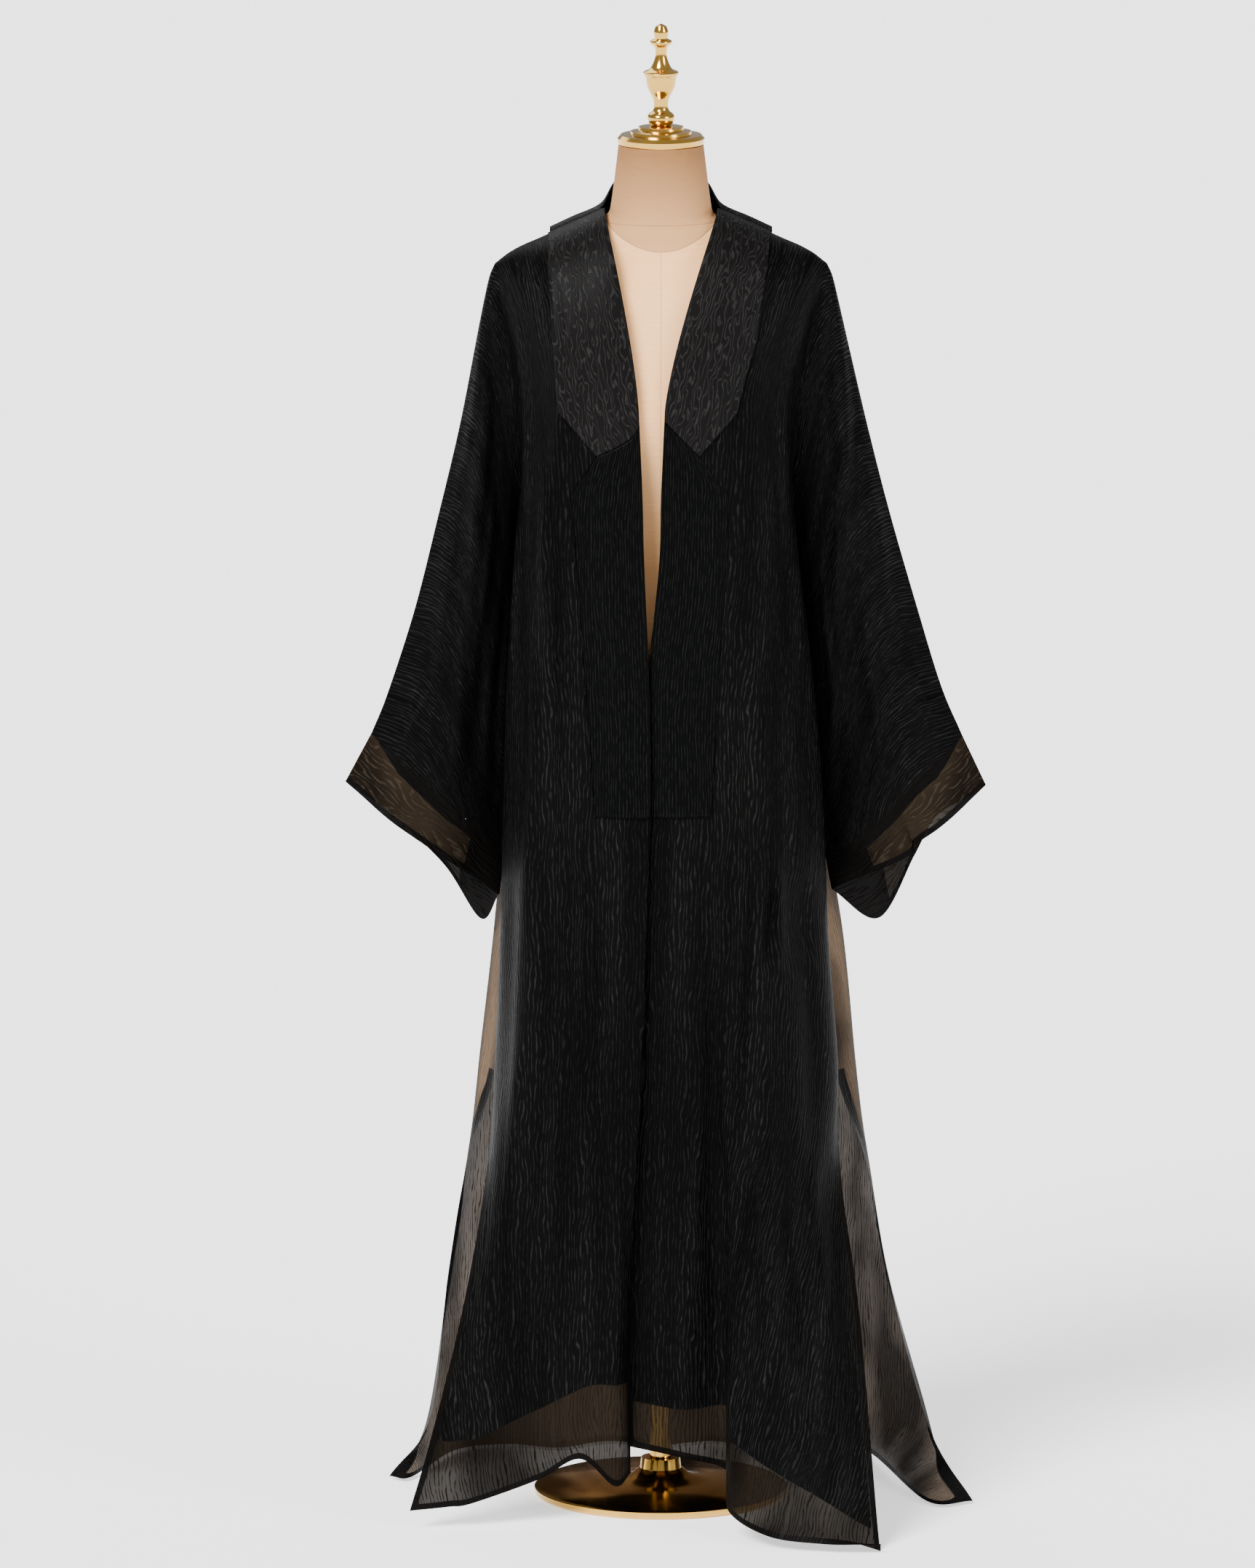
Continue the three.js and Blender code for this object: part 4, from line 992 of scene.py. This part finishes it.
def mixed(tree, factor, a, b):
    """A colour between two, by a factor."""
    node = add_node(tree, "ShaderNodeMix", data_type="RGBA")
    tree.links.new(factor, node.inputs[0])
    for value, socket in ((a, node.inputs[6]), (b, node.inputs[7])):
        if isinstance(value, tuple):
            socket.default_value = (*value, 1)
        else:
            tree.links.new(value, socket)
    return node.outputs[2]


def ranged(tree, value, low, high, to_low=0.0, to_high=1.0):
    """A value moved from one range to another and held inside it."""
    node = add_node(tree, "ShaderNodeMapRange",
                    {"From Min": low, "From Max": high, "To Min": to_low, "To Max": to_high})
    tree.links.new(value, node.inputs["Value"])
    return node.outputs["Result"]


def group(name, inputs, outputs):
    """An empty node group with float and vector inputs and its outputs."""
    tree = bpy.data.node_groups.new(name, "ShaderNodeTree")
    for label, kind, value in inputs:
        socket = tree.interface.new_socket(label, in_out="INPUT", socket_type=kind)
        if value is not None:
            socket.default_value = value
    for label, kind in outputs:
        tree.interface.new_socket(label, in_out="OUTPUT", socket_type=kind)
    return tree, add_node(tree, "NodeGroupInput"), add_node(tree, "NodeGroupOutput")


print("node helpers are ready")

# %% The crinkle of the organza
CRINKLE = {"Lines per metre": 230.0, "Wander": 2.6, "Loops": 1.0, "Unbroken": 0.15}
UNEVEN = {
    # how often it changes in a metre across the cloth and down it, and its detail
    "slow": (46, 13, 1.0), "small": (130, 42, 1.5), "patch": (9, 4, 2.0), "dash": (260, 70, 1.0),
    "threads": (900, 240, 1.0), "streak": (34, 2.4, 2.0),
}
crinkle, c_in, c_out = group(
    "crinkle",
    [("Cut", "NodeSocketVector", None),
     *((label, "NodeSocketFloat", value) for label, value in CRINKLE.items())],
    [(label, "NodeSocketFloat") for label in ("Height", "Ridge", "Patch", "Streak")])
cut = c_in.outputs["Cut"]
uneven = {label: noise(crinkle, stretched(crinkle, cut, x, y), 1.0, detail)
          for label, (x, y, detail) in UNEVEN.items()}
across = add_node(crinkle, "ShaderNodeSeparateXYZ")
crinkle.links.new(cut, across.inputs[0])
wander = times(crinkle, uneven["slow"], c_in.outputs["Wander"])
loops = times(crinkle, uneven["small"], c_in.outputs["Loops"])
lines = times(crinkle, across.outputs["X"], c_in.outputs["Lines per metre"])
turns = plus(crinkle, plus(crinkle, lines, wander), loops)
wave = math_node(crinkle, "SINE", times(crinkle, turns, 2 * math.pi))
dash = ranged(crinkle, uneven["dash"], 0.36, 0.60)
dash = largest(crinkle, dash, c_in.outputs["Unbroken"])
ridge = times(crinkle, ranged(crinkle, wave, 0.45, 1.0), dash)
swell = ranged(crinkle, wave, -0.2, 1.0)
strength = ranged(crinkle, uneven["patch"], 0.3, 0.7, 0.45, 1.0)
height = plus(crinkle, times(crinkle, swell, strength), times(crinkle, uneven["threads"], 0.25))
results = {"Height": height, "Ridge": ridge, "Patch": uneven["patch"], "Streak": uneven["streak"]}
for label, socket in results.items():
    crinkle.links.new(socket, c_out.inputs[label])
print("crinkle:", len(crinkle.nodes), "nodes")

# %% [markdown]
# The same organza shows in three ways. Over the lining it is black with a painted sheen: soft streaks down
# the cloth and the raised lines are painted lighter, as highlights. Past the lining's edge it is one sheer
# layer, brownish, with a little light coming through, and darker where it is seen edge on; on the back its
# sheer colours are a lighter tan, painted light for the light that comes through. Along the finished edges
# a narrow turning makes it dark again. The two values on the points say which it is, and the shader's
# alpha lets the light through.

# %% The organza
TURNED_COLOUR, TURNED_ALPHA = (0.0022, 0.0018, 0.0016), 0.998
# The lined black's lighter colour is a painted sheen and painted highlight.
LINED_DARK, LINED_SHEEN = (0.0006, 0.0006, 0.0006), (0.0140, 0.0134, 0.0130)
LINING_EDGE = -0.0006, 0.0006  # from sheer to lined, in metres round the lining's edge
TURNING_EDGE = 0.0071, 0.0079  # from doubled to single cloth, in metres from the finished edge
EDGE_ON = 0.50, 0.85  # from seen straight on to seen edge on


def principled(name, **values):
    """A material with one Principled shader and its constants on its own sockets."""
    material = bpy.data.materials.new(name)
    material.use_nodes = True
    shader = material.node_tree.nodes["Principled BSDF"]
    for label, value in values.items():
        shader.inputs[label.replace("_", " ")].default_value = value
    return material, material.node_tree, shader


def feed(tree, shader, label, socket):
    """A socket linked to one of the shader's inputs."""
    tree.links.new(socket, shader.inputs[label])


def attribute(tree, label):
    """A value kept on the points of the mesh."""
    node = add_node(tree, "ShaderNodeAttribute", attribute_name=label)
    return node.outputs["Fac"]


def place_crinkle(tree, *settings):
    """The crinkle group on the piece's flat cut. A setting left out keeps the group's own value."""
    node = add_node(tree, "ShaderNodeGroup", node_tree=crinkle)
    uv = add_node(tree, "ShaderNodeUVMap", uv_map="cut")
    tree.links.new(uv.outputs[0], node.inputs["Cut"])
    for label, value in {**CRINKLE, **dict(zip(CRINKLE, settings))}.items():
        node.inputs[label].default_value = value
    return node


def raised(tree, shader, height, strength, distance):
    """A bump from a height to the shader's normal."""
    bump = add_node(tree, "ShaderNodeBump", {"Strength": strength, "Distance": distance})
    tree.links.new(height, bump.inputs["Height"])
    feed(tree, shader, "Normal", bump.outputs[0])


def organza(name, clear, dense, sheer_dark, sheer_light, line_colour, lines, wander, bump=0.6):
    """The crinkled organza, lined or sheer by the values on its points."""
    material, tree, shader = principled(name, Specular_IOR_Level=0.018)
    pattern = place_crinkle(tree, lines, wander)
    lined = ranged(tree, attribute(tree, "lined"), *LINING_EDGE)
    turning = ranged(tree, attribute(tree, "edge_gap"), *TURNING_EDGE, 1.0, 0.0)
    # Painted sheen: soft streaks down the cloth, and the raised lines as painted highlights, lighten the
    # lined black.
    sheen_streaks = ranged(tree, pattern.outputs["Streak"], 0.36, 0.66, 0.40, 1.0)
    ridge_highlight = math_node(tree, "MULTIPLY_ADD", pattern.outputs["Ridge"], 0.80, 0.10)
    black = mixed(tree, times(tree, sheen_streaks, ridge_highlight), LINED_DARK, LINED_SHEEN)
    fold = ranged(tree, pattern.outputs["Patch"], 0.38, 0.62)
    brown = mixed(tree, fold, sheer_dark, sheer_light)
    brown = mixed(tree, times(tree, pattern.outputs["Ridge"], 0.6), brown, line_colour)
    slant = add_node(tree, "ShaderNodeLayerWeight", {"Blend": 0.5}).outputs["Facing"]
    edge_on = ranged(tree, slant, *EDGE_ON)
    brown = mixed(tree, edge_on, brown, sheer_dark)
    sheer = mixed(tree, turning, brown, TURNED_COLOUR)
    feed(tree, shader, "Base Color", mixed(tree, lined, sheer, black))
    thin = ranged(tree, fold, 0.0, 1.0, dense, clear)
    thin = plus(tree, thin, times(tree, pattern.outputs["Ridge"], 0.05))
    doubled = times(tree, largest(tree, turning, edge_on), TURNED_ALPHA)
    opaque = math_node(tree, "MINIMUM", largest(tree, thin, doubled, lined), 1.0)
    feed(tree, shader, "Alpha", opaque)
    feed(tree, shader, "Roughness", ranged(tree, pattern.outputs["Patch"], 0.3, 0.7, 0.34, 0.48))
    raised(tree, shader, pattern.outputs["Height"], bump, 0.0016)
    return material


finishes = {
    "organza": organza("organza", 0.965, 0.99, (0.003, 0.0021, 0.0014), (0.010, 0.0070, 0.0046),
                       (0.003, 0.0021, 0.0014), 230.0, 2.6),
    # Behind, the sheer colours are a light tan: painted light, for the light that comes through the sheer
    # back.
    "back organza": organza("organza behind", 0.965, 0.99, (0.018, 0.0122, 0.0076), (0.120, 0.0810, 0.0520),
                            (0.018, 0.0122, 0.0076), 230.0, 2.6),
    # On the cuffs the raised lines take a lighter colour than the cloth, a painted highlight along them.
    "sheer": organza("sheer organza", 0.97, 0.992, (0.005, 0.0033, 0.0019), (0.016, 0.0110, 0.0068),
                     (0.034, 0.0255, 0.0170), 150.0, 5.5),
}
print("organza:", list(finishes))

# %% [markdown]
# Collar and bands are laid double, so no light comes through them. On the collar the lines wander a
# lot and are hardly broken, and on the bands they are close, fine dashes. Their lighter colour is a
# painted highlight along the ridges. A dip near the edge stands for the stitching. The lining is a fine
# plain weave with hardly any sheen. A picture could be painted for each, but the crinkle group gives all
# of them sharp lines at any distance.

# %% The doubled cloth of collar and bands
STITCH_FROM_EDGE = 0.0035
DOUBLED = {
    # lines a metre, their wander and loops, how far they are unbroken, colours between them and on them,
    # the second a painted highlight
    "facing": (190.0, 3.0, 3.2, 0.75, (0.0040, 0.0037, 0.0036), (0.0150, 0.0142, 0.0137)),
    "band": (300.0, 1.6, 0.7, 0.15, (0.0002, 0.0003, 0.0003), (0.0065, 0.0062, 0.0060)),
}
for name, (lines, wander, loops, unbroken, dark, light) in DOUBLED.items():
    material, tree, shader = principled(f"doubled {name}", Roughness=0.42, Specular_IOR_Level=0.03)
    pattern = place_crinkle(tree, lines, wander, loops, unbroken)
    # The colour on the lines is a painted highlight.
    feed(tree, shader, "Base Color", mixed(tree, pattern.outputs["Ridge"], dark, light))
    near = ranged(tree, attribute(tree, "edge_gap"), 0.0, STITCH_FROM_EDGE, -0.8, 0.0)
    raised(tree, shader, plus(tree, pattern.outputs["Height"], near), 0.4, 0.0009)
    finishes[name] = material

material, tree, shader = principled("lining", Roughness=0.6, Specular_IOR_Level=0.03)
uv = add_node(tree, "ShaderNodeUVMap", uv_map="cut")
weave = noise(tree, stretched(tree, uv.outputs[0], 1400, 1400), 1.0, 1.0)
feed(tree, shader, "Base Color", mixed(tree, weave, (0.0012, 0.0012, 0.0012), (0.0028, 0.0027, 0.0027)))
raised(tree, shader, weave, 0.3, 0.0003)
finishes["lining"] = material
print("finishes so far:", list(finishes))

# %% [markdown]
# The form's linen is a plain weave. Threads run up and round it, and each is a little uneven. On the
# torso a seam runs down the middle of the front and the back, pulled in by its stitches. The neck has
# a cover of its own, with no seam in front; painted shade darkens it towards the cap, as the cap's
# shadow. Its lower edge dips in an arc onto the chest, so the same finish tells both covers apart by
# that arc.

# %% The linen
THREADS_PER_METRE = 900.0
SEAM_WIDTH, SEAM_COLOUR = 0.0012, (0.36, 0.21, 0.12)
TORSO_RADIUS = 0.12
NECK_BASE, ARC_HALF_WIDTH, ARC_DROP = 1.4801, 0.062, 0.030
# The neck's second colour is painted shade: it darkens the neck towards the cap, as the cap's shadow.
NECK_CAP_SHADOW, NECK_LIGHT = (0.21, 0.093, 0.030), (0.60, 0.315, 0.135)
CAP_SHADOW_HEIGHTS = 1.450, 1.560  # the neck darkens between these heights


def linen(name, dark, light, middle_seam):
    """A woven linen from the place on the form. Above the neckline's arc it is the neck's cover."""
    material, tree, shader = principled(name, Roughness=0.85, Specular_IOR_Level=0.25)
    place = add_node(tree, "ShaderNodeTexCoord").outputs["Object"]
    axes = add_node(tree, "ShaderNodeSeparateXYZ")
    tree.links.new(place, axes.inputs[0])
    turn = math_node(tree, "ARCTAN2", axes.outputs["Y"], axes.outputs["X"])
    threads = 2 * math.pi * THREADS_PER_METRE
    warp = math_node(tree, "SINE", times(tree, turn, TORSO_RADIUS * threads))
    weft = math_node(tree, "SINE", times(tree, axes.outputs["Z"], threads))
    uneven = noise(tree, stretched(tree, place, 1, 1, 6), 60.0, 4.0, "3D")
    blotch = noise(tree, place, 9.0, 2.0, "3D")
    shade = plus(tree, times(tree, uneven, 0.5), times(tree, blotch, 0.5))
    shade = ranged(tree, shade, 0.3, 0.7)
    out = math_node(tree, "DIVIDE", axes.outputs["X"], ARC_HALF_WIDTH)
    drop = times(tree, math_node(tree, "SUBTRACT", 1.0, times(tree, out, out)), ARC_DROP)
    above = plus(tree, math_node(tree, "SUBTRACT", axes.outputs["Z"], NECK_BASE), drop)
    front = math_node(tree, "LESS_THAN", axes.outputs["Y"], 0.0)
    cover = times(tree, ranged(tree, above, 0.0, 0.0005), front)
    top = math_node(tree, "GREATER_THAN", axes.outputs["Z"], NECK_BASE)
    cover = largest(tree, cover, top)
    # Painted shade: the neck's cover darkens towards the cap, as in the cap's shadow.
    cap_shadow = ranged(tree, axes.outputs["Z"], *CAP_SHADOW_HEIGHTS, 0.0, 0.85)
    cap_shadow = math_node(tree, "MULTIPLY_ADD", shade, 0.12, cap_shadow)
    colour = mixed(tree, cover, mixed(tree, shade, dark, light), mixed(tree, cap_shadow, NECK_LIGHT, NECK_CAP_SHADOW))
    middle = ranged(tree, math_node(tree, "ABSOLUTE", axes.outputs["X"]), 0.0, SEAM_WIDTH, middle_seam, 0.0)
    middle = times(tree, middle, math_node(tree, "SUBTRACT", 1.0, cover))
    round_neck = ranged(tree, math_node(tree, "ABSOLUTE", above), 0.0, SEAM_WIDTH, 0.8, 0.0)
    groove = largest(tree, middle, times(tree, round_neck, front))
    feed(tree, shader, "Base Color", mixed(tree, groove, colour, SEAM_COLOUR))
    woven = times(tree, times(tree, warp, weft), 0.25)
    relief = math_node(tree, "SUBTRACT", woven, times(tree, groove, 3.0))
    raised(tree, shader, plus(tree, relief, uneven), 0.35, 0.0005)
    return material


finishes["linen"] = linen("form linen", (0.92, 0.455, 0.185), (0.99, 0.57, 0.26), 0.5)

# %% [markdown]
# The fittings of the stand are polished metal with the colour of gold. An even mirror would look drawn,
# so one soft noise varies its colour and its polish, and another, squeezed along the height, leaves
# the fine rings of the lathe.

# %% The gold metal
material, tree, shader = principled("polished gold", Metallic=1.0, Roughness=0.2, Coat_Weight=0.2)
place = add_node(tree, "ShaderNodeTexCoord").outputs["Object"]
tarnish = noise(tree, place, 30.0, 5.0, "3D")
lathe = noise(tree, stretched(tree, place, 8, 8, 1400), 1.0, 2.0, "3D")
feed(tree, shader, "Base Color", mixed(tree, tarnish, (0.56, 0.30, 0.050), (0.74, 0.45, 0.095)))
feed(tree, shader, "Roughness", ranged(tree, tarnish, 0.3, 0.7, 0.10, 0.20))
raised(tree, shader, lathe, 0.05, 0.0003)
finishes["gold"] = material
print("finishes:", list(finishes))

# %% [markdown]
# ## Put it together
# Each piece gets its finish, rides on the part's one body and stands for its solid, which is hidden.

# %% Give each piece its finish and hide the solid that it stands for
SHEETS = {
    # node: finish, slot, flat width and length, area, how it is held, what carries it
    "front_right": ("organza", "organza", (0.72, 1.52), 0.45, "hung", ["form_torso"]),
    "front_left": ("organza", "organza", (0.74, 1.56), 0.52, "hung", ["form_torso"]),
    "back": ("back organza", "organza", (1.62, 1.58), 1.07, "hung", ["form_torso"]),
    "lining_front_right": ("lining", "lining", (0.28, 1.43), 0.31, "hung", ["form_torso"]),
    "lining_front_left": ("lining", "lining", (0.39, 1.51), 0.37, "hung", ["form_torso"]),
    "lining_back": ("lining", "lining", (0.52, 1.36), 0.56, "hung", ["form_torso"]),
    "collar_right": ("facing", "facing", (0.10, 0.31), 0.024, "laid", ["front_right"]),
    "collar_left": ("facing", "facing", (0.09, 0.31), 0.023, "laid", ["front_left"]),
    "collar_back": ("facing", "facing", (0.35, 0.11), 0.028, "laid", ["back"]),
    "band_right": ("band", "facing", (0.09, 0.46), 0.031, "laid", ["front_right"]),
    "band_left": ("band", "facing", (0.08, 0.46), 0.031, "laid", ["front_left"]),
    "cuff_right": ("sheer", "sheer", (0.53, 0.10), 0.027, "hung", ["front_right"]),
    "cuff_left": ("sheer", "sheer", (0.53, 0.10), 0.027, "hung", ["front_left"]),
}


def placed(piece, node, finish, slot_name):
    """The piece with its finish, on the part's one body and in place of its solid."""
    piece.data.materials.append(finishes[finish])
    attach(piece, "root")
    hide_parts(node)
    return piece


for node, (finish, slot_name, flat, flat_area, held, carried_by) in SHEETS.items():
    piece = placed(cloth[node], node, finish, slot_name)
    print(f"{node}: {area_of(piece):.4f} m2")

for pieces, finish in ((form, "linen"), (stand, "gold")):
    for node, piece in pieces.items():
        placed(piece, node, finish, finish)

# %% [markdown]
# ## Floor and light
# The photograph has a plain pale studio. A soft sun from the upper left, a weaker one from the right,
# one from behind and a pale sky light it. The floor glows a little, like paper lit from below, so that
# it stays pale round the black cloth.

# %% Floor and lights
FLOOR_SIZE, FLOOR_PLACE, FLOOR_GLOW = 120.0, (0, 20, -0.0005), 0.9  # just under the base
SKY_COLOUR, SKY_STRENGTH = (0.93, 0.94, 0.96, 1), 0.45
bpy.ops.mesh.primitive_plane_add(size=FLOOR_SIZE, location=FLOOR_PLACE)
floor = bpy.context.active_object
floor.name = "floor"
material, tree, shader = principled("pale floor", Base_Color=(0.95, 0.95, 0.955, 1), Roughness=0.9,
                                   Emission_Color=(1, 1, 1, 1), Emission_Strength=FLOOR_GLOW)
floor.data.materials.append(material)

LIGHTS = [
    # name, the side that it shines from, its width in the sky in degrees, strength
    ("key", (-2.4, -3.4, 3.8), 26, 7.0),
    ("fill", (3.4, -2.6, 1.6), 26, 2.0),
    ("back", (-1.6, 3.0, 2.6), 40, 1.0),
]
for name, spot, width, strength in LIGHTS:
    light = bpy.data.lights.new(name, "SUN")
    light.angle = math.radians(width)
    light.energy = strength
    lamp = bpy.data.objects.new(name, light)
    lamp.location = spot
    aim = -np.array(spot)
    lamp.rotation_euler = (
        math.atan2(math.hypot(aim[0], aim[1]), -aim[2]), 0, math.atan2(aim[0], -aim[1]) + math.pi)
    bpy.context.scene.collection.objects.link(lamp)

world = bpy.data.worlds.new("studio")
world.use_nodes = True
sky = world.node_tree.nodes["Background"]
sky.inputs["Color"].default_value = SKY_COLOUR
sky.inputs["Strength"].default_value = SKY_STRENGTH
bpy.context.scene.world = world
print("lights:", [row[0] for row in LIGHTS])
